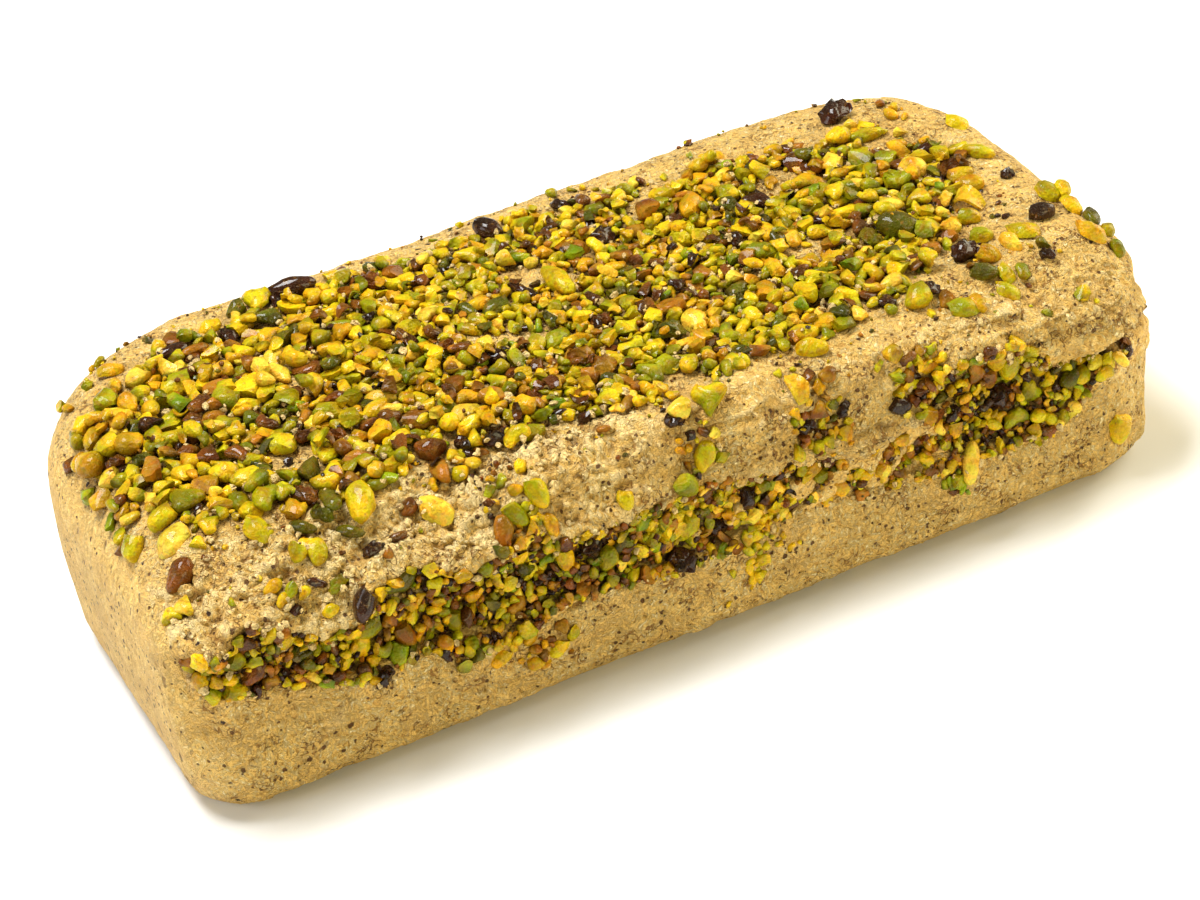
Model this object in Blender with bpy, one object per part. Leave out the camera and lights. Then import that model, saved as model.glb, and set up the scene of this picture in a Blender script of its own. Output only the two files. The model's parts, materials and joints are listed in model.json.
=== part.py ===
"""Pistachio halva loaf: one moulded block, its nut filling and its nut topping.

Metres, +Z up. +X runs along the loaf, -Y is the long broken face, and the
origin is the middle of the underside.
"""
import math

import bmesh
import bpy
from mathutils import Vector, noise

# ---- driving dimensions -------------------------------------------------
LENGTH = 0.260          # loaf, left end to right end
WIDTH = 0.130           # broken face to moulded back
HEIGHT = 0.059          # underside to the flat of the top
GAP = 0.0003            # clearance between touching pieces

# the loaf's plan: left, right, front and back, and the radii of the upright
# corners, front left, front right, back right and back left
LOAF_SIDES = (-0.5 * LENGTH, 0.5 * LENGTH, -0.5 * WIDTH, 0.5 * WIDTH)
LOAF_RADII = (0.015, 0.024, 0.041, 0.050)

# rounding of the top edge, (how far in, how far down), for each side
TOP_ROUND = {
    "left": (0.020, 0.018),
    "right": (0.013, 0.012),
    "front": (0.009, 0.008),
    "back": (0.021, 0.017),
}
FOOT_ROUND = 0.007      # rounding of the bottom edge, all the way round
FRONT_BATTER = 0.004    # the broken face leans back by this over the height
FACE_STAND = 0.0012     # stands the face back, so its proudest lumps keep the width
LOWER_BELLY = 0.0016    # swell of the face below the filling
UPPER_LIP = 0.0020      # overhang of the crumbly lip above the filling, left half
LIP_HEIGHT = 0.043      # height of that lip
COARSE_BREAK = 0.0011   # depth of the face's broken lumps, about 11 mm across
FINE_BREAK = 0.0007     # and of its small ones, about 5 mm across
LEFT_BULGE = 0.002      # the moulded left end swells at mid height
SEAM_STEP = 0.0016      # above the seam the right end sits this much further in
SEAM_HEIGHT = 0.039     # height of that seam
END_WAVE = 0.0005       # slow unevenness of the right end
TOP_WAVE = 0.0009       # slow unevenness of the top

# the filling, a sheet of chopped nuts pressed into the block
BAND_LOW = 0.0265       # underside of the filling, deep in the loaf
BAND_HIGH = 0.0390      # top of the filling, deep in the loaf
SKIN = 0.008            # halva left closed over the filling at back and ends
BAND_RECESS = 0.0014    # the filling stands back from the broken face
BAND_SETTLE = 0.022     # depth over which the band takes its inner level

# the topping, a carpet of chopped nuts: its plan, left, right, front and back
TOPPING_SIDES = (-0.121, 0.106, -0.049, 0.045)
TOPPING_RADII = (0.026, 0.044, 0.030, 0.036)
TOPPING_THICK = 0.0040
TOPPING_EDGE = 0.0012   # thickness of its thin outer rim
TOPPING_FADE = 0.014    # the carpet thins out over this much of its border
TOPPING_ROOT = 0.0025   # reach below the top, before the loaf is cut away from it

# the band's edges along the broken face: (middle x, half width, rise)
LOW_EDGE_SWELLS = (
    (-0.122, 0.030, 0.0080),
    (-0.044, 0.034, -0.0045),
    (-0.004, 0.018, -0.0040),
    (0.024, 0.014, -0.0018),
    (0.050, 0.016, -0.0028),
    (0.083, 0.022, -0.0050),
    (0.116, 0.016, 0.0060),
)
HIGH_EDGE_SWELLS = (
    (-0.123, 0.024, 0.0080),
    (-0.076, 0.024, 0.0025),
    (-0.028, 0.036, 0.0018),
    (0.050, 0.036, -0.0052),
    (0.093, 0.022, 0.0070),
    (0.116, 0.014, 0.0020),
)
# shallow scoops broken out of the face: (x, z, radius, depth)
SCOOPS = (
    (-0.043, 0.051, 0.013, 0.0026),
    (0.000, 0.050, 0.011, 0.0020),
    (0.034, 0.046, 0.010, 0.0014),
    (0.062, 0.044, 0.013, 0.0024),
    (0.088, 0.041, 0.014, 0.0018),
    (-0.095, 0.046, 0.014, 0.0018),
)
# the top sinks towards the broken face: (from x, to x, drop), and how far in
LEFT_SAG = (-0.036, -0.062, 0.0066)
MIDDLE_SAG = (0.016, 0.034, 0.0020)
RIGHT_SAG = (0.080, 0.102, 0.0042)
SAG_REACH = 0.027

# points along each stretch of an outline, front first, anticlockwise
LOAF_POINTS = {
    "front": 42, "front_right": 6, "right": 6, "back_right": 8,
    "back": 16, "back_left": 9, "left": 6, "front_left": 5,
}
TOPPING_POINTS = {
    "front": 32, "front_right": 8, "right": 4, "back_right": 6,
    "back": 32, "back_left": 7, "left": 5, "front_left": 6,
}


# ---- small helpers ------------------------------------------------------
def smooth_step(low, high, value):
    """0 below low, 1 above high, and an S-curve between."""
    share = min(1.0, max(0.0, (value - low) / (high - low)))
    return share * share * (3.0 - 2.0 * share)


def swell(x, middle, half_width):
    """A round bump of height 1 that fades to 0 at half_width."""
    share = abs(x - middle) / half_width
    return 0.0 if share >= 1.0 else 0.5 + 0.5 * math.cos(math.pi * share)


def wobble(x, y, z, scale, seed):
    """Gentle uneven value between about -1 and 1."""
    place = Vector((x / scale + seed * 7.31, y / scale - seed * 3.17, z / scale + seed))
    return noise.noise(place)


def outline(sides, radii, counts):
    """Plan of a box with four different corner radii, as a list of (x, y)."""
    left, right, front, back = sides
    front_left, front_right, back_right, back_left = radii
    points = []

    def straight(name, start, end):
        for step in range(counts[name]):
            share = step / counts[name]
            points.append((
                start[0] + (end[0] - start[0]) * share,
                start[1] + (end[1] - start[1]) * share,
            ))

    def corner(name, centre, radius, first_angle):
        for step in range(counts[name]):
            angle = first_angle + 0.5 * math.pi * step / counts[name]
            points.append((
                centre[0] + radius * math.cos(angle),
                centre[1] + radius * math.sin(angle),
            ))

    straight("front", (left + front_left, front), (right - front_right, front))
    corner("front_right", (right - front_right, front + front_right), front_right, -0.5 * math.pi)
    straight("right", (right, front + front_right), (right, back - back_right))
    corner("back_right", (right - back_right, back - back_right), back_right, 0.0)
    straight("back", (right - back_right, back), (left + back_left, back))
    corner("back_left", (left + back_left, back - back_left), back_left, 0.5 * math.pi)
    straight("left", (left, back - back_left), (left, front + front_left))
    corner("front_left", (left + front_left, front + front_left), front_left, math.pi)
    return points


def moved_in(sides, insets):
    """The sides of a plan, each moved in by its own amount."""
    left, right, front, back = sides
    from_left, from_right, from_front, from_back = insets
    return (left + from_left, right - from_right, front + from_front, back - from_back)


def tighter(radii, insets):
    """The corner radii that go with sides moved in."""
    smallest = 0.003
    from_left, from_right, from_front, from_back = insets
    less = (
        min(from_front, from_left),
        min(from_front, from_right),
        min(from_back, from_right),
        min(from_back, from_left),
    )
    return [max(smallest, radius - cut) for radius, cut in zip(radii, less)]


def loft(name, rings):
    """A closed mesh object through rings that hold the same number of points."""
    mesh = bmesh.new()
    loops = [[mesh.verts.new(point) for point in ring] for ring in rings]
    count = len(loops[0])
    for lower, upper in zip(loops, loops[1:]):
        for i in range(count):
            j = (i + 1) % count
            mesh.faces.new((lower[i], lower[j], upper[j], upper[i]))
    mesh.faces.new(list(reversed(loops[0])))
    mesh.faces.new(loops[-1])
    bmesh.ops.triangulate(mesh, faces=mesh.faces)
    bmesh.ops.recalc_face_normals(mesh, faces=mesh.faces)
    data = bpy.data.meshes.new(name)
    mesh.to_mesh(data)
    mesh.free()
    piece = bpy.data.objects.new(name, data)
    bpy.context.collection.objects.link(piece)
    return piece


def finish_material(name, colour, roughness):
    """A Principled material in plain values."""
    material = bpy.data.materials.new(name)
    material.use_nodes = True
    shader = material.node_tree.nodes["Principled BSDF"]
    shader.inputs["Base Color"].default_value = (*colour, 1.0)
    shader.inputs["Roughness"].default_value = roughness
    shader.inputs["Metallic"].default_value = 0.0
    return material


def hide_cutter(piece):
    """Marks a guide solid, which is no part of the loaf."""
    piece.hide_render = True
    piece.display_type = "WIRE"


def boolean(piece, cutter, operation):
    """Adds an exact Boolean modifier."""
    modifier = piece.modifiers.new(operation.title(), "BOOLEAN")
    modifier.operation = operation
    modifier.solver = "EXACT"
    modifier.object = cutter


# ---- the loaf's form ----------------------------------------------------
def round_inset(side, z):
    """How far a side draws in at height z, for its foot and its top edge."""
    if z < FOOT_ROUND:
        rise = (FOOT_ROUND - z) / FOOT_ROUND
        return FOOT_ROUND * (1.0 - math.sqrt(1.0 - rise * rise))
    inward, downward = TOP_ROUND[side]
    start = HEIGHT - downward
    if z <= start:
        return 0.0
    rise = min(1.0, (z - start) / downward)
    return inward * (1.0 - math.sqrt(1.0 - rise * rise))


def sag(x, y):
    """How far the top has sunk at a place, towards the broken face."""
    drop = sum(depth * smooth_step(start, end, x)
               for start, end, depth in (LEFT_SAG, MIDDLE_SAG, RIGHT_SAG))
    across = 1.0 - smooth_step(-0.5 * WIDTH + 0.004, -0.5 * WIDTH + SAG_REACH, y)
    return drop * across


def top_height(x, y):
    """Height of the loaf's slightly uneven top."""
    waves = wobble(x, y, 0.0, 0.045, 2) + 0.45 * wobble(x, y, 0.0, 0.014, 5)
    return HEIGHT - TOP_WAVE * (0.7 - waves) - sag(x, y)


def face_relief(x, z):
    """How far the broken face stands back from its plane at (x, z)."""
    lean = FRONT_BATTER * z / HEIGHT
    belly = LOWER_BELLY * math.sin(math.pi * min(1.0, z / BAND_LOW))
    left_half = 1.0 - smooth_step(-0.030, 0.020, x)
    lip = UPPER_LIP * swell(z, LIP_HEIGHT, 0.008) * left_half
    dents = sum(depth * swell(math.hypot(x - mid_x, z - mid_z), 0.0, radius)
                for mid_x, mid_z, radius, depth in SCOOPS)
    rough = COARSE_BREAK * wobble(x, 0.0, z, 0.011, 9) + FINE_BREAK * wobble(x, 0.0, z, 0.0045, 4)
    above_foot = smooth_step(0.0, 0.012, z)
    return FACE_STAND + lean - belly - lip + dents + rough * above_foot


def end_relief(y, z):
    """How far the right end stands back: its upper half sits a step in."""
    step = SEAM_STEP * smooth_step(SEAM_HEIGHT - 0.0015, SEAM_HEIGHT + 0.0015, z)
    return step + END_WAVE * (0.45 + wobble(0.0, y, z, 0.020, 6))


def weather(x, y, z):
    """Moves one point of the plain loaf to its broken, moulded place."""
    near_front = 1.0 - smooth_step(-0.5 * WIDTH + 0.002, -0.5 * WIDTH + 0.020, y)
    near_right = smooth_step(0.5 * LENGTH - 0.016, 0.5 * LENGTH - 0.002, x)
    near_left = 1.0 - smooth_step(-0.5 * LENGTH + 0.002, -0.5 * LENGTH + 0.020, x)
    new_y = y + near_front * face_relief(x, z)
    new_x = x - near_right * end_relief(y, z)
    new_x += near_left * LEFT_BULGE * (1.0 - math.sin(math.pi * min(1.0, z / HEIGHT)))
    upper = smooth_step(0.75 * HEIGHT, HEIGHT, z)
    new_z = z - upper * (HEIGHT - top_height(x, y))
    return (new_x, new_y, new_z)


def loaf_ring(z, set_back=None, inward=0.0):
    """One level ring of the loaf. set_back(x, z) moves the face further in."""
    insets = [round_inset(side, z) + inward for side in ("left", "right", "front", "back")]
    ring = []
    for x, y in outline(moved_in(LOAF_SIDES, insets), tighter(LOAF_RADII, insets), LOAF_POINTS):
        px, py, pz = weather(x, y, z)
        if set_back is not None:
            depth = set_back(x, z)
            centre = Vector((0.85 * px, 0.6 * py + 0.010))
            towards = (centre - Vector((px, py))).normalized()
            px += towards.x * depth
            py += towards.y * depth
        ring.append((px, py, pz))
    return ring


def loaf_levels(step):
    """Heights of the loaf's rings: close at the foot, even, close at the top."""
    foot = [FOOT_ROUND * (1.0 - math.cos(math.radians(a))) for a in (0, 35, 65, 90)]
    top_start = HEIGHT - max(downward for _, downward in TOP_ROUND.values())
    count = round((top_start - FOOT_ROUND) / step)
    even = [FOOT_ROUND + (top_start - FOOT_ROUND) * (i + 1) / count for i in range(count)]
    shoulder = HEIGHT - top_start
    top = [HEIGHT - shoulder * (1.0 - math.sin(math.radians(a))) for a in (14, 30, 45, 60, 75, 90)]
    return foot + even + top


def loaf_solid(name, step, set_back=None):
    """The whole loaf as one closed solid, before the filling is let in."""
    rings = [loaf_ring(z, set_back) for z in loaf_levels(step)]
    for inward in (0.012, 0.026, 0.042):
        rings.append(loaf_ring(HEIGHT, set_back, inward))
    return loft(name, rings)


# ---- the filling --------------------------------------------------------
def band_levels(x, y, clearance):
    """Lower and upper height of the filling at a place."""
    depth = y + 0.5 * WIDTH
    outer = 1.0 - smooth_step(0.0, BAND_SETTLE, depth)
    low = BAND_LOW + outer * sum(rise * swell(x, mid, half) for mid, half, rise in LOW_EDGE_SWELLS)
    high = BAND_HIGH + outer * sum(rise * swell(x, mid, half) for mid, half, rise in HIGH_EDGE_SWELLS)
    low += 0.0009 * wobble(x, y, 0.0, 0.009, 11) * outer
    high += 0.0010 * wobble(x, y, 0.0, 0.008, 13) * outer
    return low + clearance, high - clearance


def band_solid(name, clearance):
    """The sheet that the filling takes up, run out past the broken face."""
    beyond = 0.016
    closed = (0.75 * SKIN, 0.5 * SKIN, -beyond, SKIN)
    radii = (0.0, 0.0, LOAF_RADII[2] - SKIN, LOAF_RADII[3] - SKIN)
    shells = []
    for inward in (0.0, 0.012, 0.020, 0.030, 0.044):
        edge = clearance + inward
        insets = [closing + edge for closing in closed]
        corners = tighter(radii, [edge] * 4)
        shells.append(outline(moved_in(LOAF_SIDES, insets), corners, LOAF_POINTS))
    lower = [[(x, y, band_levels(x, y, clearance)[0]) for x, y in shell] for shell in shells]
    upper = [[(x, y, band_levels(x, y, clearance)[1]) for x, y in shell] for shell in shells]
    return loft(name, list(reversed(lower)) + upper)


def filling_set_back(x, z):
    """The nuts' uneven stand-back, under the lip and in the band."""
    bumps = 0.0014 * wobble(x, 0.0, z, 0.0060, 21)
    under_lip = 0.0016 * swell(x, -0.085, 0.050) + 0.0010 * swell(x, 0.090, 0.025)
    return BAND_RECESS + under_lip + bumps


# ---- the topping --------------------------------------------------------
def topping_ring(inward):
    """The carpet's plan at a distance in from its ragged edge."""
    insets = [inward] * 4
    points = outline(moved_in(TOPPING_SIDES, insets), tighter(TOPPING_RADII, insets), TOPPING_POINTS)
    ragged = 0.0035 * (1.0 - smooth_step(0.0, 0.030, inward))
    ring = []
    for x, y in points:
        ring.append((
            x + ragged * wobble(x, y, 0.0, 0.016, 41),
            y + ragged * wobble(x, y, 0.0, 0.013, 43),
        ))
    return ring


def topping_thickness(x, y, inward):
    """Lumpy thickness, thin at the rim and full further in."""
    full = smooth_step(0.0, TOPPING_FADE, inward)
    lumps = 1.0 + 0.85 * wobble(x, y, 0.0, 0.0085, 31) + 0.30 * wobble(x, y, 0.0, 0.030, 33)
    return TOPPING_EDGE + (TOPPING_THICK - TOPPING_EDGE) * full * max(0.2, lumps)


def topping_solid(name):
    """A thin lumpy carpet that reaches a little down into the loaf's top."""
    rings = []
    for inward in (0.034, 0.015, 0.0):
        rings.append([(x, y, top_height(x, y) - TOPPING_ROOT) for x, y in topping_ring(inward)])
    for inward in (0.0, 0.004, 0.009, 0.0145, 0.021, 0.028, 0.036):
        rings.append([
            (x, y, top_height(x, y) + topping_thickness(x, y, inward))
            for x, y in topping_ring(inward)
        ])
    return loft(name, rings)


# ---- the pieces ---------------------------------------------------------
def build():
    """Clears the scene and makes the loaf's three pieces."""
    for old in list(bpy.data.objects):
        bpy.data.objects.remove(old)

    halva = finish_material("halva", (0.72, 0.48, 0.20), 0.62)
    filling_nuts = finish_material("filling nuts", (0.36, 0.30, 0.04), 0.50)
    topping_nuts = finish_material("topping nuts", (0.48, 0.42, 0.05), 0.45)

    pocket = band_solid("pocket_cutter", 0.0)
    hide_cutter(pocket)
    inner_loaf = loaf_solid("inner_loaf_cutter", 0.0035, filling_set_back)
    hide_cutter(inner_loaf)

    block = loaf_solid("halva_block", 0.0058)
    boolean(block, pocket, "DIFFERENCE")
    block.data.materials.append(halva)

    filling = band_solid("pistachio_filling", GAP)
    boolean(filling, inner_loaf, "INTERSECT")
    filling.data.materials.append(filling_nuts)

    raised_loaf = loaf_solid("raised_loaf_cutter", 0.0058)
    raised_loaf.location.z = GAP
    hide_cutter(raised_loaf)
    topping = topping_solid("pistachio_topping")
    boolean(topping, raised_loaf, "DIFFERENCE")
    topping.data.materials.append(topping_nuts)


build()
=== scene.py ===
import json
import math
import random

import bpy
import numpy as np
from mathutils import Matrix, Vector
from mathutils.bvhtree import BVHTree

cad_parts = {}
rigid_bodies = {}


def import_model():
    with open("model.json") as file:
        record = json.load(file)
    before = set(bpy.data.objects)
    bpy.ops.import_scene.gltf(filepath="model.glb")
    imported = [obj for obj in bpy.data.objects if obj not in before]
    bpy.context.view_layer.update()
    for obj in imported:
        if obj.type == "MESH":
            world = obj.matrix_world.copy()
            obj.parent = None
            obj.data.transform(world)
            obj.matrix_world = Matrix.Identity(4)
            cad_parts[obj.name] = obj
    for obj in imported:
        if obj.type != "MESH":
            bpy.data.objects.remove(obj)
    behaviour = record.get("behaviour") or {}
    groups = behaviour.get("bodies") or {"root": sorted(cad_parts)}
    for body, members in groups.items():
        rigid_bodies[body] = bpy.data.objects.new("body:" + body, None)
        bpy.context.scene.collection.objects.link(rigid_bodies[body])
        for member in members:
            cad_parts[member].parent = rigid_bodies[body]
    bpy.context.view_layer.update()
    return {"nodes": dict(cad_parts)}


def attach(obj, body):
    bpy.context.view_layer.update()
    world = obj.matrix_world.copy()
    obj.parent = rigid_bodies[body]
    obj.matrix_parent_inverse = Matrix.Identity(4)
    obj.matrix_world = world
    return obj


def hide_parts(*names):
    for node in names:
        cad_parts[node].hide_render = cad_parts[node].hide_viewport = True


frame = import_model()        # halva_block, pistachio_filling and pistachio_topping, in metres
mm = 0.001


def deselectAll():
    for thing in bpy.context.selected_objects:
        thing.select_set(False)


def makeActive(thing):
    deselectAll()
    thing.select_set(True)
    bpy.context.view_layer.objects.active = thing


def applyAll(thing):
    makeActive(thing)
    for modifier in list(thing.modifiers):
        bpy.ops.object.modifier_apply(modifier=modifier.name)


def addModifier(thing, kind, **settings):
    modifier = thing.modifiers.new(kind, kind)
    for key, value in settings.items():
        setattr(modifier, key, value)


def editMesh(thing, operator, chosen=None, **settings):
    # one edit of the whole mesh, or of the chosen faces only
    makeActive(thing)
    if chosen is not None:
        thing.data.polygons.foreach_set("select", chosen)
    bpy.ops.object.mode_set(mode="EDIT")
    if chosen is None:
        bpy.ops.mesh.select_all(action="SELECT")
    else:
        bpy.ops.mesh.select_mode(type="FACE")
    operator(**settings)
    bpy.ops.object.mode_set(mode="OBJECT")


def copyNode(node, name):
    # the frame's node stays as it is; its copy is welded into one closed mesh
    piece = frame["nodes"][node].copy()
    piece.data = piece.data.copy()
    piece.name = name
    piece.parent = None
    for key in list(piece.keys()):
        del piece[key]
    piece.data.materials.clear()
    bpy.context.scene.collection.objects.link(piece)
    editMesh(piece, bpy.ops.mesh.remove_doubles, threshold=0.01 * mm)
    editMesh(piece, bpy.ops.mesh.normals_make_consistent, inside=False)
    return piece


def remesh(piece, voxel, rubs):
    addModifier(piece, "REMESH", mode="VOXEL", voxel_size=voxel, use_smooth_shade=True)
    if rubs:
        addModifier(piece, "SMOOTH", factor=0.5, iterations=rubs)
    applyAll(piece)


def countTriangles(piece):
    return sum(len(face.vertices) - 2 for face in piece.data.polygons)


def meshArray(items, key, width=3):
    values = np.empty(len(items) * width, np.float32)
    items.foreach_get(key, values)
    return values.reshape(-1, width).astype(float)


def setPoints(piece, points):
    piece.data.vertices.foreach_set("co", points.astype(np.float32).ravel())
    piece.data.update()


def addLayer(piece, name, values):
    layer = piece.data.attributes.new(name, "FLOAT", "POINT")
    layer.data.foreach_set("value", values.astype(np.float32))


def smoothStep(low, high, value):
    share = np.clip((value - low) / (high - low), 0.0, 1.0)
    return share * share * (3.0 - 2.0 * share)


def cellNumber(cells, seed):
    # one steady random number, 0 to 1, for each cell of a lattice
    whole = cells.astype(np.int64)
    mixed = (whole[..., 0] * 73856093) ^ (whole[..., 1] * 19349663) ^ (whole[..., 2] * 83492791)
    mixed = (mixed ^ (seed * 2654435761)) & 0xffffffff
    mixed = ((mixed ^ (mixed >> 15)) * 2246822519) & 0xffffffff
    mixed = ((mixed ^ (mixed >> 13)) * 3266489917) & 0xffffffff
    return ((mixed ^ (mixed >> 16)) & 0xffffffff) / 4294967296.0


askew = np.array(((0.80, -0.36, 0.48), (0.60, 0.48, -0.64), (0.0, 0.80, 0.60)))    # hides the lattice


def softNoise(points, size, seed):
    # smooth waves of about the given size, from -1 to 1
    place = (np.asarray(points, float) / size) @ askew + seed
    corner = np.floor(place)
    share = place - corner
    share = share * share * share * (share * (share * 6.0 - 15.0) + 10.0)
    total = 0.0
    for step in np.ndindex(2, 2, 2):
        weight = np.prod(np.where(np.array(step) == 1, share, 1.0 - share), axis=-1)
        total = total + weight * cellNumber(corner + step, seed)
    return total * 2.0 - 1.0


def crumbNoise(points, size, seed):
    # distance to the nearest crumb's middle, the way to it, and three numbers for that crumb
    place = np.asarray(points, float) / size
    corner = np.floor(place)
    nearest = np.full(len(place), 9.0)
    toward = np.zeros((len(place), 3))
    numbers = np.zeros((len(place), 3))
    for step in np.ndindex(3, 3, 3):
        cell = corner + np.array(step) - 1.0
        jitter = np.stack([cellNumber(cell, seed + turn) for turn in range(3)], axis=-1)
        away = place - cell - jitter
        distance = np.sqrt((away * away).sum(axis=-1))
        closer = distance < nearest
        nearest[closer] = distance[closer]
        toward[closer] = away[closer]
        numbers[closer] = jitter[closer]
    return nearest, toward, numbers


def lumps(points, size, seed):
    # rounded crumbs with creases between them, about -0.5 to 0.5
    nearest, _, numbers = crumbNoise(points, size, seed)
    return 0.55 - (nearest / 0.8) ** 2 + 0.5 * (numbers[:, 0] - 0.5)


def ridges(points, size, seed):
    # sharp crests with round hollows between them, as in something torn
    return 1.0 - 2.6 * np.abs(softNoise(points, size, seed))


def facets(points, size, seed):
    # broken flakes: each one leans its own way, with a step to the next, about -0.5 to 0.5
    _, toward, numbers = crumbNoise(points, size, seed)
    lean = (toward * (numbers[:, [1, 2, 0]] - 0.5)).sum(axis=-1)
    return 1.3 * lean + 0.6 * (numbers[:, 0] - 0.5)


def plug(tree, socket, value):
    if isinstance(value, bpy.types.NodeSocket):
        tree.links.new(value, socket)
    else:
        socket.default_value = value


def addNode(tree, kind, settings=None, **inputs):
    # an input is named by its label, or by its number as i0, i1 and so on
    node = tree.nodes.new(kind)
    for key, value in (settings or {}).items():
        setattr(node, key, value)
    for key, value in inputs.items():
        numbered = key[0] == "i" and key[1:].isdigit()
        plug(tree, node.inputs[int(key[1:])] if numbered else node.inputs[key], value)
    return node


def maths(tree, operation, first, second=0.0, third=0.0):
    node = addNode(tree, "ShaderNodeMath", {"operation": operation}, i0=first, i1=second, i2=third)
    return node.outputs[0]


def plus(tree, first, second):
    return maths(tree, "ADD", first, second)


def minus(tree, first, second):
    return maths(tree, "SUBTRACT", first, second)


def times(tree, first, second):
    return maths(tree, "MULTIPLY", first, second)


def offMiddle(tree, value, middle):
    # how far a value is from the middle, on either side
    return maths(tree, "ABSOLUTE", minus(tree, value, middle))


def vectorMaths(tree, operation, first, **inputs):
    return addNode(tree, "ShaderNodeVectorMath", {"operation": operation}, i0=first, **inputs).outputs[0]


def noise(tree, place, scale, detail=2.0, **more):
    return addNode(tree, "ShaderNodeTexNoise", Vector=place, Scale=scale, Detail=detail, **more).outputs[0]


def swayed(tree, place, scale, detail, amount):
    # the place pushed about by a noise, so that what is drawn on it bends
    push = addNode(tree, "ShaderNodeTexNoise", Vector=place, Scale=scale, Detail=detail).outputs[1]
    return vectorMaths(tree, "ADD", place, i1=vectorMaths(tree, "SCALE", push, Scale=amount))


def mixColour(tree, share, first, second, blend="MIX"):
    node = addNode(tree, "ShaderNodeMix", {"data_type": "RGBA", "blend_type": blend},
                   i0=share, i6=first, i7=second)
    return node.outputs[2]


def mixValue(tree, share, first, second):
    return addNode(tree, "ShaderNodeMix", {"data_type": "FLOAT"}, i0=share, i2=first, i3=second).outputs[0]


def spread(tree, value, fromLow, fromHigh, toLow=0.0, toHigh=1.0):
    node = addNode(tree, "ShaderNodeMapRange", {"interpolation_type": "SMOOTHSTEP"},
                   i0=value, i1=fromLow, i2=fromHigh, i3=toLow, i4=toHigh)
    return node.outputs[0]


def dapple(tree, colour, pattern, fromLow, fromHigh, darkest, lightest):
    shade = spread(tree, pattern, fromLow, fromHigh, darkest, lightest)
    return mixColour(tree, 1.0, colour, shade, "MULTIPLY")


def paint(red, green, blue):
    # screen colour, 0 to 255, as the shader's linear colour
    linear = []
    for value in (red, green, blue):
        share = value / 255
        linear.append(share / 12.92 if share <= 0.04045 else ((share + 0.055) / 1.055) ** 2.4)
    return (*linear, 1.0)


def newGroup(name, inputs, outputs):
    group = bpy.data.node_groups.new(name, "ShaderNodeTree")
    for label, kind, value in inputs:
        socket = group.interface.new_socket(name=label, in_out="INPUT", socket_type="NodeSocket" + kind)
        if value is not None:
            socket.default_value = value
    for label, kind in outputs:
        group.interface.new_socket(name=label, in_out="OUTPUT", socket_type="NodeSocket" + kind)
    return group, group.nodes.new("NodeGroupInput").outputs


def closeGroup(group, **values):
    out = group.nodes.new("NodeGroupOutput")
    for label, value in values.items():
        group.links.new(value, out.inputs[label])
    return group


def placeGroup(tree, group, **inputs):
    return addNode(tree, "ShaderNodeGroup", {"node_tree": group}, **inputs).outputs


def makeFibres():
    # short threads that lie every way: each little patch turns the grain by its own angles
    group, given = newGroup(
        "halvaFibres", [("Vector", "Vector", None), ("Patch", "Float", 300.0), ("Pitch", "Float", 1500.0)],
        [("Height", "Float"), ("Threads", "Float")])
    bent = swayed(group, given["Vector"], 380.0, 1.0, 2.2 * mm)
    patch = addNode(group, "ShaderNodeTexVoronoi", Vector=bent, Scale=given["Patch"])
    angles = vectorMaths(group, "SCALE", patch.outputs["Color"], Scale=6.28)
    turned = addNode(group, "ShaderNodeVectorRotate", {"rotation_type": "EULER_XYZ"},
                     Vector=bent, Rotation=angles)
    drawn = vectorMaths(group, "MULTIPLY", turned.outputs[0], i1=(0.36, 1.0, 1.0))
    grain = noise(group, drawn, given["Pitch"], Roughness=0.55)
    thread = spread(group, offMiddle(group, grain, 0.56), 0.0, 0.045, 1.0, 0.0)
    return closeGroup(group, Height=grain, Threads=thread)


def makeSpecks():
    # scattered specks: Amount is the share of cells that hold one
    group, given = newGroup(
        "seedSpecks", [("Vector", "Vector", None), ("Scale", "Float", 500.0), ("Amount", "Float", 0.3),
                       ("Size", "Float", 0.3)],
        [("Mask", "Float")])
    cells = addNode(group, "ShaderNodeTexVoronoi", Vector=given["Vector"], Scale=given["Scale"])
    numbers = addNode(group, "ShaderNodeSeparateColor", i0=cells.outputs["Color"]).outputs
    present = maths(group, "LESS_THAN", numbers[0], given["Amount"])
    radius = times(group, given["Size"], plus(group, numbers[1], 0.35))
    dot = spread(group, cells.outputs["Distance"], times(group, radius, 0.7), radius, 1.0, 0.0)
    return closeGroup(group, Mask=times(group, dot, present))


fibres = makeFibres()
specks = makeSpecks()


beyond = 1000           # millimetres, well past everything

halvaLook = {
    # colours, then what the surface is like
    "light": (243, 206, 120),       # lit, flaky parts
    "deep": (212, 165, 80),         # between the flakes: the grain's darker tone, partly painted shade there
    "crumb": (253, 229, 168),       # painted highlight on the threads and on proud parts
    "flakeHighlight": (255, 236, 184),       # painted highlight on the proudest flakes
    "hollowShade": (150, 102, 40),       # painted shade at the bottoms of crevices, creases and cracks
    "oily": (218, 174, 92),         # smoother patches where the oil has come through
    "pit": (102, 64, 26),           # painted shade in pores and pin holes
    "speck": (50, 28, 18),          # dark seed specks
    "roughness": 0.6, "shine": 0.3,
    "voxel": 0.8 * mm, "mostTriangles": 190000,
    # two corners each, in millimetres: what the underside, the pocket and the torn face lie in
    "under": ((-beyond, -beyond, -beyond), (beyond, beyond, 0.3)),
    "pocket": ((-123, -48, 20), (123, 58.5, 45.5)),
    "torn": ((-127, -beyond, 1), (127, -46, beyond)),
}

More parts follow.
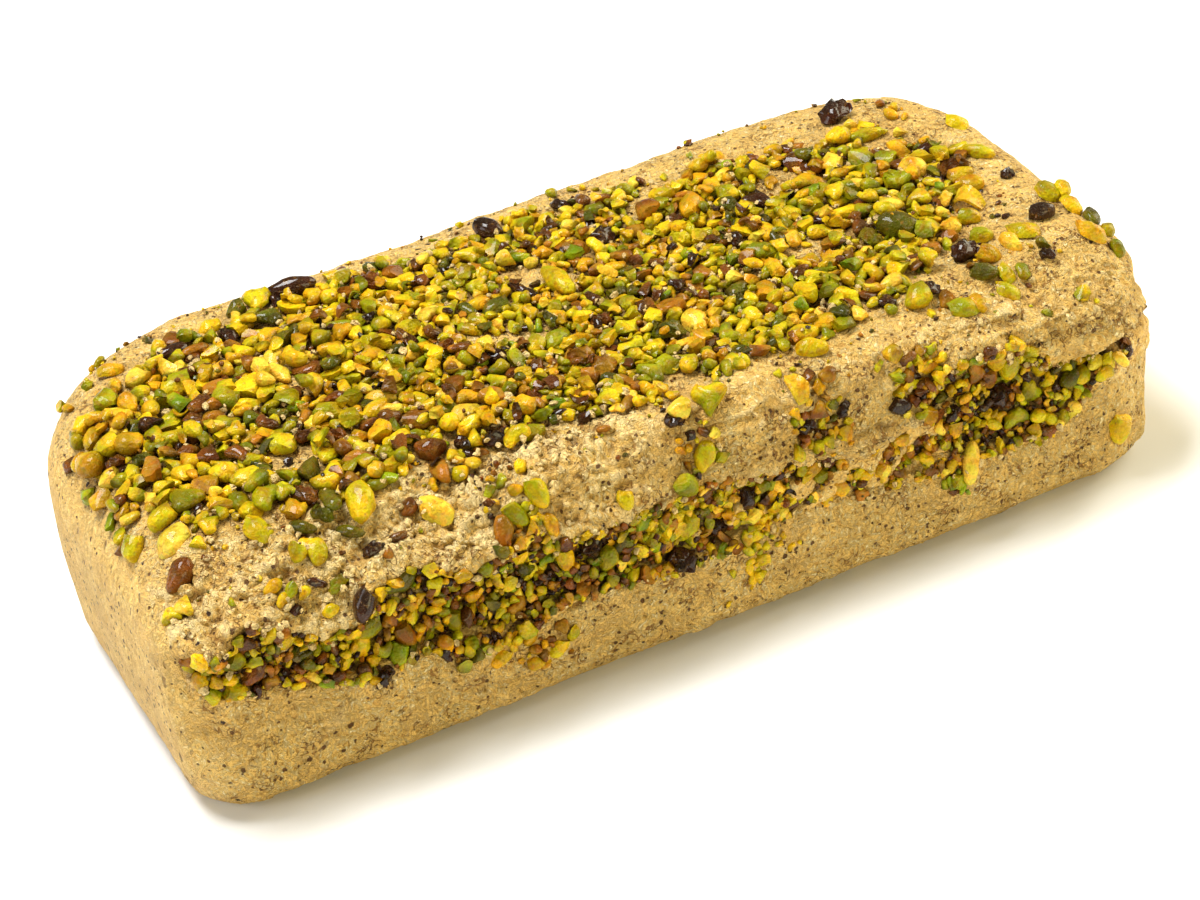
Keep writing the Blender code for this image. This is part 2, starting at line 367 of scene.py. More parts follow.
pasteLook = {
    "nutStainAndShade": (66, 42, 12),          # what the ground nut does to the halva, dark enough to stand as painted shade between the band's nuts
    # the bits of ground nut: the share of the cells they start at, and their colour
    "bits": [(0.0, (190, 160, 38)), (0.35, (146, 126, 20)), (0.6, (96, 90, 12)),
             (0.8, (122, 86, 24)), (0.93, (58, 34, 14))],
    "voxel": 0.7 * mm,
    "hidden": ((-124, -49, -beyond), (124, beyond, beyond)),
}


def coat(tree, colour, *layers):
    # lays the halva's own colours over one another, each as far as its share says
    for share, name in layers:
        colour = mixColour(tree, share, colour, paint(*halvaLook[name]))
    return colour


def dots(tree, place, scale, amount, size):
    return placeGroup(tree, specks, Vector=place, Scale=scale, Amount=amount, Size=size)[0]


def makeHalvaSurface():
    # the colour and relief of pressed halva; Pores is 1 on moulded skin and 0 where it is broken; Relief is
    # the depth of the real shape, painted as shade where it is low and as a highlight where it is high
    group, given = newGroup(
        "halvaSurface", [("Vector", "Vector", None), ("Pores", "Float", 0.0), ("Relief", "Float", 0.0)],
        [("Colour", "Color"), ("Height", "Float")])
    place, moulded, relief = given["Vector"], given["Pores"], given["Relief"]
    torn = minus(group, 1.0, times(group, moulded, 0.8))
    slow = noise(group, place, 60.0, 4.0, Roughness=0.6)
    fine = noise(group, place, 2100.0, Roughness=0.6)
    flakes, threads = placeGroup(group, fibres, Vector=place, Patch=300.0, Pitch=1200.0)[:2]

    # moulded skin has upright streaks where the broken halva has flakes
    swung = swayed(group, place, 240.0, 2.0, 4 * mm)
    upright = vectorMaths(group, "MULTIPLY", swung, i1=(1.0, 1.0, 0.36))
    streaks = noise(group, upright, 800.0, 3.0)
    grain = mixValue(group, times(group, moulded, 0.7), flakes, streaks)

    # threads and flakes painted with highlights, and painted shade in the creases between them
    thread = times(group, threads, spread(group, slow, 0.38, 0.6, 0.2, 0.65))
    thread = times(group, thread, minus(group, 1.0, moulded))
    flakeHighlight = times(group, spread(group, flakes, 0.61, 0.65, 0.0, 0.7), torn)
    creaseShade = times(group, spread(group, flakes, 0.33, 0.39, 0.35, 0.0), torn)
    # the fibre grain: its own tone, partly painted light on the flakes and painted shade between them
    colour = mixColour(group, spread(group, grain, 0.30, 0.64), paint(*halvaLook["deep"]),
                       paint(*halvaLook["light"]))
    colour = coat(group, colour, (thread, "crumb"), (flakeHighlight, "flakeHighlight"), (creaseShade, "hollowShade"))
    colour = dapple(group, colour, slow, 0.3, 0.7, 0.90, 1.05)
    colour = dapple(group, colour, fine, 0.34, 0.62, 0.91, 1.06)

    # oily patches, then painted shade in the hollows and a painted highlight on the proud parts, both from
    # the depth of the real shape
    oily = spread(group, noise(group, place, 110.0, 4.0, Roughness=0.6), 0.44, 0.60, 0.0, 0.65)
    creviceShade = spread(group, relief, -1.1, 0.0, 0.55, 0.0)
    fresh = spread(group, relief, 0.1, 1.0, 0.0, 0.55)
    colour = coat(group, colour, (oily, "oily"), (creviceShade, "hollowShade"), (fresh, "crumb"))

    # painted shade in pin holes, pores and cracks, and dark seed specks
    ragged = swayed(group, place, 900.0, 1.0, 0.9 * mm)
    leaning = addNode(group, "ShaderNodeMapping", Vector=ragged, Rotation=(0.4, 0.5, 0.8),
                      Scale=(1.0, 2.4, 1.7)).outputs[0]
    hole = maths(group, "MAXIMUM", dots(group, ragged, 640.0, 0.36, 0.28),
                 times(group, dots(group, ragged, 270.0, 0.36, 0.15), torn))
    pore = times(group, dots(group, upright, 440.0, 0.27, 0.27), times(group, moulded, 0.75))
    pit = maths(group, "MAXIMUM", hole, pore)
    crackShade = spread(group, offMiddle(group, noise(group, swung, 430.0), 0.5), 0.012, 0.045, 0.9, 0.0)
    crackShade = times(group, crackShade, spread(group, noise(group, place, 170.0), 0.48, 0.62))
    crackShade = times(group, crackShade, torn)
    speck = maths(group, "MAXIMUM", dots(group, ragged, 300.0, 0.10, 0.17),
                  dots(group, leaning, 120.0, 0.14, 0.10))
    colour = coat(group, colour, (crackShade, "hollowShade"), (times(group, pit, 0.95), "pit"),
                  (times(group, speck, 0.97), "speck"))

    height = plus(group, grain, times(group, fine, 0.5))
    height = plus(group, height, times(group, threads, 0.25))
    height = plus(group, height, times(group, minus(group, flakeHighlight, creaseShade), 0.4))
    height = minus(group, height, times(group, pit, 0.9))
    height = minus(group, height, times(group, crackShade, 0.4))
    return closeGroup(group, Colour=colour, Height=height)


halvaSurface = makeHalvaSurface()


def newMaterial(name):
    material = bpy.data.materials.new(name)
    material.use_nodes = True
    return material, material.node_tree


def objectPlace(tree):
    return addNode(tree, "ShaderNodeTexCoord").outputs["Object"]


def attribute(tree, name, output="Fac"):
    return addNode(tree, "ShaderNodeAttribute", {"attribute_name": name}).outputs[output]


def setShader(tree, inputs, height=None, strength=1.0, depth=mm):
    # plugs the inputs into the material's shader by their labels, with the height as its relief
    shader = tree.nodes["Principled BSDF"]
    for label, value in inputs.items():
        plug(tree, shader.inputs[label], value)
    if height is not None:
        bump = addNode(tree, "ShaderNodeBump", Strength=strength, Distance=depth, Height=height)
        tree.links.new(bump.outputs[0], shader.inputs["Normal"])


def setHalvaShader(tree, colour, height, depth):
    setShader(tree, {"Base Color": colour, "Roughness": halvaLook["roughness"],
                     "Specular IOR Level": halvaLook["shine"]}, height, 1.0, depth)


def halvaMaterial():
    material, tree = newMaterial("halva")
    colour, height = placeGroup(tree, halvaSurface, Vector=objectPlace(tree),
                                Pores=attribute(tree, "moulded"), Relief=attribute(tree, "relief"))[:2]
    # the halva under the carpet of nuts: their oil stain, and painted shade between the nuts
    colour = mixColour(tree, times(tree, attribute(tree, "oilStainAndShade"), 0.5), colour, paint(*toppingLook["oilStainAndShade"]))
    setHalvaShader(tree, colour, height, 1.8 * mm)
    return material


def pasteMaterial():
    # halva worked through with ground pistachio, as much as the nutty attribute says
    material, tree = newMaterial("fillingPaste")
    place = objectPlace(tree)
    nutty = attribute(tree, "nutty")
    colour, height = placeGroup(tree, halvaSurface, Vector=place, Pores=0.0,
                                Relief=attribute(tree, "relief"))[:2]
    cells = addNode(tree, "ShaderNodeTexVoronoi", Vector=place, Scale=480.0)
    numbers = addNode(tree, "ShaderNodeSeparateColor", i0=cells.outputs["Color"]).outputs
    bits = addNode(tree, "ShaderNodeValToRGB", i0=numbers[0])
    stops = bits.color_ramp.elements
    while len(stops) < len(pasteLook["bits"]):
        stops.new(0.5)
    for stop, (along, bitColour) in zip(stops, pasteLook["bits"]):
        stop.position = along
        stop.color = paint(*bitColour)
    # darkened where the nuts lie thick: the ground nut's stain, and painted shade between the nuts
    colour = mixColour(tree, times(tree, nutty, 0.85), colour, paint(*pasteLook["nutStainAndShade"]))
    inlaid = maths(tree, "LESS_THAN", numbers[1], times(tree, nutty, 0.3))
    colour = mixColour(tree, inlaid, colour, bits.outputs[0])
    height = minus(tree, height, times(tree, cells.outputs["Distance"], nutty))
    setHalvaShader(tree, colour, height, 0.9 * mm)
    return material


# the broken face's lines, as x and z in millimetres, and how thick the nuts lie along it
faceLines = {
    "lip": ((-126, 44), (-118, 44), (-111, 48), (-103, 44.5), (-95, 39.5), (-86, 39.5), (-81, 46), (-73, 48),
            (-66, 46), (-58, 42), (-52, 43), (-47, 45.5), (-42, 45), (-37, 41), (-18, 41), (-3, 40.7),
            (18, 37.9), (42, 34), (56, 36), (64, 44), (70, 48), (78, 47.5), (84, 43), (91, 37.5), (98, 35),
            (106, 36), (112, 37.5), (118, 37), (126, 37)),
    "foot": ((-126, 38), (-120, 33), (-108, 31), (-100, 29), (-92, 26.5), (-83, 24), (-77, 26), (-70, 25.5),
             (-64, 20.5), (-52, 21), (-45, 22), (-40, 25), (-25, 25), (-4, 21.5), (22, 24.7), (49, 22.4),
             (84, 21.5), (92, 20.5), (101, 25.5), (106, 30.5), (113, 33), (126, 37)),
    "nuts": ((-126, 0.5), (-118, 1), (-22, 1), (-5, 0.85), (14, 0.7), (30, 0.5), (56, 0.42), (64, 0.7),
             (72, 0.95), (99, 1), (106, 0.75), (113, 0.5), (118, 0.1), (126, 0)),
}


def alongFace(line, x):
    places, values = zip(*faceLines[line])
    return np.interp(x, places, values)


breakLook = {
    # how deep each kind of break is, in millimetres: fine and coarse ridges, grains, chips, flakes, dough
    "upper": (0.10, 0.16, 0.0, 0.20, 0.30, 0.42),
    "lower": (0.10, 0.12, 0.0, 0.20, 0.35, 0.22),
    "lip": (0.04, 0.35, 1.0, 0.08, 0.70, 0.60),
    "top": (0.06, 0.10, 0.0, 0.10, 0.0, 0.16),
    "crest": (0.06, 0.16, 0.3, 0.10, 0.20, 0.40),
}


def brokenDetail(q, upper, lower, lip, top, crest):
    # the torn surface of the halva, in millimetres, from the share that each part has of every point
    breaks = (ridges(q, 1.5, 11), ridges(q * (1, 1, 1.2), 3.1, 12), lumps(q, 2.3, 15),
              facets(q * (1, 1, 1.5), 2.7, 13), facets(q * (1, 1, 1.7), 5.6, 14),
              softNoise(q * (1, 1, 1.3), 4.6, 16) + 0.5 * softNoise(q, 2.3, 17))
    parts = {"upper": upper, "lower": lower, "lip": lip, "top": top, "crest": crest}
    detail = sum(share * sum(depth * kind for depth, kind in zip(breakLook[name], breaks))
                 for name, share in parts.items())

    # slanting creases in the corner at the far end
    x, y, z = q.T
    slant = np.stack((0.8 * x + 0.6 * z, y, 0.22 * (0.8 * z - 0.6 * x)), axis=1)
    creases = 0.6 - 1.6 * np.abs(softNoise(slant, 2.4, 24)) - 0.8 * np.abs(softNoise(slant, 1.3, 25))
    farShare = smoothStep(82, 100, x)
    detail *= 1.0 - 0.4 * farShare * (upper + crest)
    detail += 0.55 * farShare * (1.2 * upper + 0.9 * crest + 0.3 * lower) * creases

    # thin layers that stand proud at their lower edge
    layer = (z + 1.6 * softNoise(q * (1, 1, 1.6), 19, 21) + 0.6 * softNoise(q, 4, 22)) / 3.4
    share = layer - np.floor(layer)
    strength = smoothStep(-0.5, 0.4, softNoise(q * (1, 1, 2.0), 13, 23))
    detail += upper * strength * (0.5 - share)
    pinholes, _, numbers = crumbNoise(q, 3.1, 41)
    detail -= 0.8 * smoothStep(0.17, 0.08, pinholes) * (numbers[:, 1] < 0.5) * (upper + lower + top + crest)
    return detail


def bulge(offset, width):
    # 1 where the offset is nothing, fading to 0 on both sides over about the width
    return np.exp(-(offset / width) ** 2)


def cornerSeam(p):
    # at the far corner the two halves part in a groove: the upper one hangs over it, the lower is prouder
    x, y, z = p.T
    corner = smoothStep(101, 109, x) * smoothStep(-14, -34, y)
    line = alongFace("lip", x) - 0.6 + 1.2 * softNoise(p, 9, 25)
    groove = corner * bulge(z - line, 1.4)
    lower = 0.8 * smoothStep(line, line - 4, z) * smoothStep(14, 28, z)
    upper = 1.5 * bulge(z - line - 3.4, 2.4)
    return corner * (lower + upper) - 3.6 * groove, groove


def keepInside(points):
    # eases the broken face back where it would stand too far forward
    limit, room = -66 * mm, 1.4 * mm
    over = np.maximum(0.0, limit - points[:, 1])
    points[:, 1] += over - room * np.tanh(over / room)
    return points


def halvaRelief(points, normals):
    # how far each point of the loaf moves out, in millimetres, how moulded it is, and how torn it is as the
    # depth of its relief, which the colour paints as shade in the hollows and as a highlight on the proud
    # parts
    p = points / mm
    x, y, z = p.T
    rise = z - alongFace("lip", x)
    face = smoothStep(0.15, 0.60, -normals[:, 1]) * smoothStep(-44, -50, y)
    top = smoothStep(0.45, 0.85, normals[:, 2]) * smoothStep(40, 46, z)
    above = smoothStep(-1.0, 2.0, rise)
    front = smoothStep(-34, -50, y)
    crest = front * smoothStep(40, 47, z) * (1 - face)
    nearLip = smoothStep(-6, -30, x) * front * smoothStep(33, 38, z)
    ends = smoothStep(129, 122, np.abs(x))
    broken = np.clip(face + top + nearLip + crest, 0, 1) * (0.25 + 0.75 * ends)
    moulded = 1.0 - broken

    out = moulded * (0.30 * softNoise(p, 17, 1) + 0.16 * softNoise(p * (1, 1, 0.3), 3, 2))
    out += top * (0.8 * softNoise(p, 13, 3) + 0.35 * softNoise(p, 5, 4))
    out += face * (0.9 * softNoise(p, 15, 5) + 0.45 * softNoise(p, 6, 6))
    rough = np.nonzero(broken > 0.02)[0]
    parts = (face * above * (1 - nearLip), face * (1 - above), nearLip, top * (1 - crest), crest)
    detail = brokenDetail(p[rough], *(part[rough] * ends[rough] for part in parts))
    relief = np.zeros(len(p))
    relief[rough] = detail
    out[rough] += detail

    seam, groove = cornerSeam(p)
    out += seam
    # the groove is written into the relief, so that it is painted with shade
    relief -= 1.6 * groove

    # the lip hangs over the nuts, most towards its near end, and the halva falls back below it
    near = smoothStep(-8, -40, x)
    far = smoothStep(2, 22, x) * smoothStep(92, 80, x)
    over = bulge(rise - 2.2, 3.0) * smoothStep(-2.0, 0.3, rise)
    below = smoothStep(0.5, -1.5, rise) * smoothStep(-12, -9, rise)
    out += front * ends * (0.8 + 1.5 * near + 1.2 * far) * over
    out -= face * ends * (2.6 * near + 1.5 * far) * below
    return out, moulded, relief


hiddenShare = 0.02      # the share of the faces that is kept where nothing shows


def facesWithin(piece, box):
    # which faces have their middle in the box, given by two corners in millimetres
    middles = meshArray(piece.data.polygons, "center") / mm
    return ((middles > box[0]) & (middles < box[1])).all(axis=1)


def smoothPiece(piece, material):
    makeActive(piece)
    bpy.ops.object.shade_smooth()
    piece.data.materials.append(material)
    print(piece.name, "has", len(piece.data.polygons), "faces")
    return piece


def makeHalva():
    piece = copyNode("halva_block", "halvaLoaf")
    remesh(piece, halvaLook["voxel"], 4)
    print("halva remeshed", len(piece.data.polygons))

    hidden = facesWithin(piece, halvaLook["under"]) | facesWithin(piece, halvaLook["pocket"])
    editMesh(piece, bpy.ops.mesh.decimate, hidden, ratio=hiddenShare)
    editMesh(piece, bpy.ops.mesh.subdivide, facesWithin(piece, halvaLook["torn"]), number_cuts=1)
    print("hidden sides thinned and the broken face made finer", len(piece.data.polygons))

    points = meshArray(piece.data.vertices, "co")
    normals = meshArray(piece.data.vertices, "normal")
    out, moulded, relief = halvaRelief(points, normals)
    standing = smoothStep(0.0, 2.0, points[:, 2] / mm)
    setPoints(piece, keepInside(points + normals * (out * standing * mm)[:, None]))
    # where the nuts lie on the top: their stain on the halva, also painted shade between them
    oilStainAndShade = np.array([toppingCover(x, y) for x, y in points[:, :2]]) * smoothStep(0.5, 0.9, normals[:, 2])
    addLayer(piece, "moulded", moulded)
    addLayer(piece, "relief", relief)
    addLayer(piece, "oilStainAndShade", np.where(points[:, 2] > 45 * mm, oilStainAndShade, 0.0))

    addModifier(piece, "DECIMATE", ratio=min(1.0, halvaLook["mostTriangles"] / countTriangles(piece)))
    applyAll(piece)
    return smoothPiece(piece, halvaMaterial())


def makePaste():
    # the paste and fine nuts that the filling's larger pieces sit in
    piece = copyNode("pistachio_filling", "fillingPaste")
    remesh(piece, pasteLook["voxel"], 0)
    editMesh(piece, bpy.ops.mesh.decimate, facesWithin(piece, pasteLook["hidden"]), ratio=hiddenShare)
    points = meshArray(piece.data.vertices, "co")
    normals = meshArray(piece.data.vertices, "normal")
    p = points / mm
    shown = smoothStep(-48, -51, p[:, 1]) + smoothStep(118, 121, np.abs(p[:, 0]))
    shown = np.clip(shown, 0, 1)
    nutty = np.array([fillingCover(x, z) for x, z in points[:, [0, 2]]])
    share = smoothStep(0.2, 0.7, nutty)
    zero = np.zeros(len(p))
    detail = brokenDetail(p, 0.5 * (1 - share), 0.5 * (1 - share), share, zero, zero)
    near = smoothStep(-8, -40, p[:, 0]) + smoothStep(66, 76, p[:, 0])
    near = near * smoothStep(3, 12, p[:, 2] - alongFace("foot", p[:, 0]))
    plain = 1.3 * (1 - share) - (0.4 + 1.6 * near) * share
    seam, groove = cornerSeam(p)
    out = shown * (0.5 + detail + plain + 0.6 * softNoise(p, 9, 33) + seam)
    setPoints(piece, keepInside(points + normals * (out * mm)[:, None]))
    addLayer(piece, "nutty", nutty)
    # the relief, painted as shade in the hollows and the groove and as a highlight on proud parts
    addLayer(piece, "relief", detail - 1.6 * groove)
    return smoothPiece(piece, pasteMaterial())


def fillingCover(x, z):
    # how thick the nuts lie in the band between the foot and the lip of the broken face
    x, z = x / mm, z / mm
    low = alongFace("foot", x)
    high = alongFace("lip", x)
    inside = smoothStep(low - 0.8, low + 0.8, z) * smoothStep(high + 1.2, high - 0.6, z)
    share = alongFace("nuts", x)
    patch = math.sin(x / 2.7 + 1.6 * math.sin(z / 2.9)) * math.sin(z / 1.9 + 1.4 * math.sin(x / 3.3))
    return float(inside * smoothStep(1.0 - share, 1.25 - share, 0.5 + 0.5 * patch + 0.2 * share))


toppingLook = {
    "middle": (-8.0, -2.5), "half": (114.0, 45.5),      # millimetres
    "kernels": 60, "chunks": 1280, "small": 900, "bedding": 800, "heaped": 150, "grit": 700, "skins": 120,
    "strays": 60, "strayGrit": 200,
    "area": ((-0.126, 0.112), (-0.060, 0.056)),         # metres
    "oilStainAndShade": (120, 82, 24),       # the halva that the nuts have stained, darkened also as painted shade between them
}


def toppingCover(x, y):
    # 1 where the carpet is thick, falling to 0 over its ragged edge; x and y in metres
    midX, midY = toppingLook["middle"]
    halfX, halfY = toppingLook["half"]
    x, y = x / mm, y / mm
    across = abs(x - midX) / halfX
    along = abs(y - midY) / halfY
    if across > 1.2 or along > 1.3:
        return 0.0
    corner = 0.30 * max(0.0, (x - 40) / 70) * max(0.0, -y / 45)
    reach = (across ** 3.2 + along ** 3.2) ** (1 / 3.2) + corner
    wave = math.sin(x / 7.1 + 2.0 * math.sin(y / 9.3)) * math.sin(y / 6.3 + 1.7 * math.sin(x / 8.7))
    ripple = math.sin(x / 2.9 + y / 4.1) * math.sin(y / 2.3 - x / 3.7)
    edge = reach + 0.05 * wave + 0.03 * ripple
    bare = math.sin(x / 11.3 + 1.3 * math.sin(y / 13.1) + 0.7) * math.sin(y / 8.9 + 1.1 * math.sin(x / 17.3))
    cover = 1.0 - min(1.0, max(0.0, (edge - 0.86) / 0.16))
    return cover * (1.0 - min(1.0, max(0.0, (bare - 0.74) / 0.1)))


halvaLoaf = makeHalva()
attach(halvaLoaf, "root")
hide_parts("halva_block")
fillingPaste = makePaste()
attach(fillingPaste, "root")
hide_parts("pistachio_filling")


def cutAway(shape, way, depth):
    # one knife cut: what lies past it falls away
    editMesh(shape, bpy.ops.mesh.bisect, plane_co=way * depth, plane_no=way, use_fill=True, clear_outer=True)


def stretchAll(shape, stretch):
    editMesh(shape, bpy.ops.transform.resize, value=stretch)


def startShape(name, primitive, **settings):
    deselectAll()
    primitive(**settings)
    shape = bpy.context.object
    shape.name = name
    return shape


def buckled(shape, amount, size, seed):
    # the shape's points pushed about in soft waves, along one axis after the other
    points = meshArray(shape.data.vertices, "co")
    for axis in range(3):
        points[:, axis] += amount * softNoise(points, size, seed + axis)
    return points


shapeSizes = {}         # each shape's width and thickness for each unit of length


def finishShape(shape, rough, seed, skinSide, skinFrom):
    # makes the surface uneven, brings it to one unit long and marks the skinned side
    points = buckled(shape, rough, 0.42, seed)
    low, high = points.min(axis=0), points.max(axis=0)
    size = high - low
    points = (points - 0.5 * (low + high)) / size[0]
    setPoints(shape, points)
    shapeSizes[shape.name] = tuple(size[1:] / size[0])
    side = points @ np.array(Vector(skinSide).normalized())
    addLayer(shape, "rind", smoothStep(skinFrom, skinFrom + 0.45, side))
    makeActive(shape)
    bpy.ops.object.shade_smooth_by_angle(angle=math.radians(52))
    shape.hide_render = True
    return shape


def blockShape(name, seed, sides, cuts, worn, pull):
    # a chopped piece: a block worn round and pulled out of true, with a knife cut or two left flat
    draw = random.Random(seed)
    shape = startShape(name, bpy.ops.mesh.primitive_cube_add, size=1.0)
    editMesh(shape, bpy.ops.mesh.subdivide, number_cuts=2)
    addModifier(shape, "CAST", factor=worn)
    applyAll(shape)
    setPoints(shape, buckled(shape, pull, 0.62, seed + 20) * sides)
    for _ in range(cuts):
        way = Vector([draw.gauss(0, 1) for _ in range(3)]).normalized()
        reach = 0.5 * math.sqrt(sum((part * side) ** 2 for part, side in zip(way, sides)))
        cutAway(shape, way, reach * draw.uniform(0.5, 0.75))
    skinSide = (draw.gauss(0, 1), draw.gauss(0, 1), draw.uniform(0.2, 1.4))
    return finishShape(shape, 0.05, seed, skinSide, -0.2)


def lobedShape(name, seed, lobes, flat, faces, cuts=0):
    # rounded lobes that run together, as a kernel breaks along its folds
    draw = random.Random(seed)
    shape = startShape(name, bpy.ops.mesh.primitive_ico_sphere_add, subdivisions=2, radius=lobes[0][3])
    bpy.ops.object.mode_set(mode="EDIT")
    for x, y, z, radius in lobes[1:]:
        bpy.ops.mesh.primitive_ico_sphere_add(subdivisions=2, radius=radius, location=(x, y, z))
    bpy.ops.object.mode_set(mode="OBJECT")
    remesh(shape, 0.05, 2)
    stretchAll(shape, (1.0, 1.0, flat))
    for _ in range(cuts):
        way = Vector((draw.gauss(0, 1), draw.gauss(0, 1), draw.gauss(0, 0.5))).normalized()
        cutAway(shape, way, draw.uniform(0.14, 0.26))
    setPoints(shape, buckled(shape, 0.05, 0.25, seed + 5))
    addModifier(shape, "DECIMATE", ratio=faces / countTriangles(shape))
    addModifier(shape, "SMOOTH", factor=0.5, iterations=2)
    applyAll(shape)
    skinSide = (draw.gauss(0, 1), draw.gauss(0, 1), draw.uniform(0.0, 1.2))
    return finishShape(shape, 0.04, seed, skinSide, -0.1)


def kernelShape(name, seed, stretch, flesh, ends, folds=0.045, rubs=4):
    # part of a kernel: domed skin on one side, flat flesh on the other, its ends chopped or not
    draw = random.Random(seed)
    shape = startShape(name, bpy.ops.mesh.primitive_ico_sphere_add, subdivisions=3, radius=0.5)
    stretchAll(shape, stretch)
    cutAway(shape, Vector((0.05, 0.1, -1.0)).normalized(), flesh)
    for end in range(ends):
        way = Vector(((-1) ** end, draw.uniform(-0.5, 0.5), draw.uniform(-0.3, 0.3))).normalized()
        cutAway(shape, way, draw.uniform(0.24, 0.34))
    setPoints(shape, buckled(shape, folds, 0.16, seed + 9))
    addModifier(shape, "SMOOTH", factor=0.5, iterations=rubs)
    applyAll(shape)
    return finishShape(shape, 0.05, seed, (0.2, 0.3, 1), -0.02)


def gritShape(name, seed, smooth=True):
    # a crumb or a small bit: a ball with its corners pushed in and out
    draw = random.Random(seed)
    shape = startShape(name, bpy.ops.mesh.primitive_ico_sphere_add, subdivisions=1, radius=0.5)
    points = meshArray(shape.data.vertices, "co")
    reach = np.array([draw.uniform(0.7, 1.12) for _ in points])
    setPoints(shape, points * reach[:, None] * (1.0, draw.uniform(0.6, 0.9), draw.uniform(0.5, 0.8)))
    finishShape(shape, 0.05, seed, (draw.gauss(0, 1), draw.gauss(0, 1), 1), -0.1)
    if smooth:
        bpy.ops.object.shade_smooth()
    return shape


def skinShape(name, seed, curl):
    # a curled flake of papery skin
    shape = startShape(name, bpy.ops.mesh.primitive_grid_add, x_subdivisions=5, y_subdivisions=3, size=1.0)
    points = meshArray(shape.data.vertices, "co")
    points[:, 1] *= 0.6 * (1.0 - 2.2 * points[:, 0] ** 2)
    points[:, 2] = curl * (0.2 - points[:, 0] ** 2) + 1.2 * points[:, 1] ** 2
    setPoints(shape, points)
    addModifier(shape, "SOLIDIFY", thickness=0.07)
    applyAll(shape)
    return finishShape(shape, 0.06, seed, (0, 0, 1), -1.0)


def shelf(name, shapes):
    # a collection that a scatter picks its shapes from, in order of name
    collection = bpy.data.collections.new(name)
    for shape in shapes:
        for old in list(shape.users_collection):
            old.objects.unlink(shape)
        collection.objects.link(shape)
    print(name, "have", [len(shape.data.polygons) for shape in shapes], "faces")
    return collection


lobePlans = {
    # each lobe's middle and radius, for a length of about one
    "kidney": ((0, 0, 0, 0.27), (-0.22, 0.12, 0, 0.24), (0.23, 0.13, 0, 0.23)),
    "bone": ((0, 0, 0, 0.24), (-0.23, 0.02, 0, 0.26), (0.22, 0.05, 0.02, 0.28)),
    "pear": ((0, 0, 0, 0.32), (0.27, 0.05, 0, 0.23)),
    "trefoil": ((0, 0, 0, 0.30), (0.22, 0.14, 0, 0.24), (-0.18, 0.19, 0.02, 0.24), (0.05, -0.21, 0, 0.23)),
    "oval": ((0, 0, 0, 0.28), (-0.18, 0.02, 0, 0.26), (0.18, -0.02, 0, 0.25)),
    "hook": ((0, 0, 0, 0.29), (0.20, 0.13, 0, 0.24), (0.32, 0.30, 0, 0.17), (-0.2, 0.05, 0, 0.24)),
}

shapePlans = {
    # how each shape is made, its seed, and what its function asks for
    "chunk": [
        (blockShape, 11, (1, 0.84, 0.66), 1, 0.65, 0.26), (blockShape, 18, (1, 0.66, 0.56), 1, 0.6, 0.28),
        (blockShape, 25, (1, 0.92, 0.58), 2, 0.7, 0.26), (blockShape, 32, (1, 0.74, 0.46), 1, 0.5, 0.24),
        (blockShape, 39, (1, 0.60, 0.50), 1, 0.6, 0.32), (blockShape, 46, (1, 0.88, 0.60), 2, 0.6, 0.24),
        (blockShape, 53, (1, 0.46, 0.40), 0, 0.5, 0.28), (blockShape, 60, (1, 0.64, 0.32), 1, 0.5, 0.24),
        (lobedShape, 67, lobePlans["kidney"], 0.85, 96), (lobedShape, 74, lobePlans["bone"], 0.9, 96),
        (lobedShape, 81, lobePlans["pear"], 0.9, 90), (lobedShape, 88, lobePlans["trefoil"], 0.8, 100),
        (lobedShape, 95, lobePlans["hook"], 0.85, 100), (lobedShape, 102, lobePlans["pear"], 0.85, 84, 1),
        (lobedShape, 109, lobePlans["trefoil"], 0.85, 84, 1),
        (blockShape, 116, (1, 0.74, 0.62), 2, 0.55, 0.34),
        (lobedShape, 123, lobePlans["oval"], 0.8, 90, 1), (lobedShape, 130, lobePlans["oval"], 0.7, 90)],
    "kernel": [
        (kernelShape, 3, (1, 0.62, 0.62), 0.06, 0), (kernelShape, 8, (1, 0.55, 0.52), 0.12, 1),
        (kernelShape, 15, (1, 0.72, 0.62), 0.02, 1), (kernelShape, 21, (1, 0.72, 0.66), 0.2, 1),
        (kernelShape, 27, (1, 0.40, 0.38), 0.14, 0), (lobedShape, 33, lobePlans["kidney"], 0.8, 240),
        (lobedShape, 35, lobePlans["trefoil"], 0.8, 260, 1),
        (kernelShape, 37, (1, 0.68, 0.60), 0.24, 0, 0.17, 1),
        (lobedShape, 41, lobePlans["hook"], 0.75, 240)],
    "small": [(gritShape, 101 + 5 * i) for i in range(6)],
    "grit": [(gritShape, 5 + i) for i in range(5)],
    "crumb": [(gritShape, 25 + i, False) for i in range(6)],
    "skin": [(skinShape, 4 + i, 0.5 + 0.5 * i) for i in range(3)],
}


def makeShelves():
    made = {name: [make(name + "%02d" % i, *rest) for i, (make, *rest) in enumerate(plans)]
            for name, plans in shapePlans.items()}
    return {kind: shelf(kind, made[name])
            for kind, name in (("chunks", "chunk"), ("kernels", "kernel"), ("small", "small"),
                               ("grit", "grit"), ("skins", "skin"), ("crumbs", "crumb"))}


shelves = makeShelves()

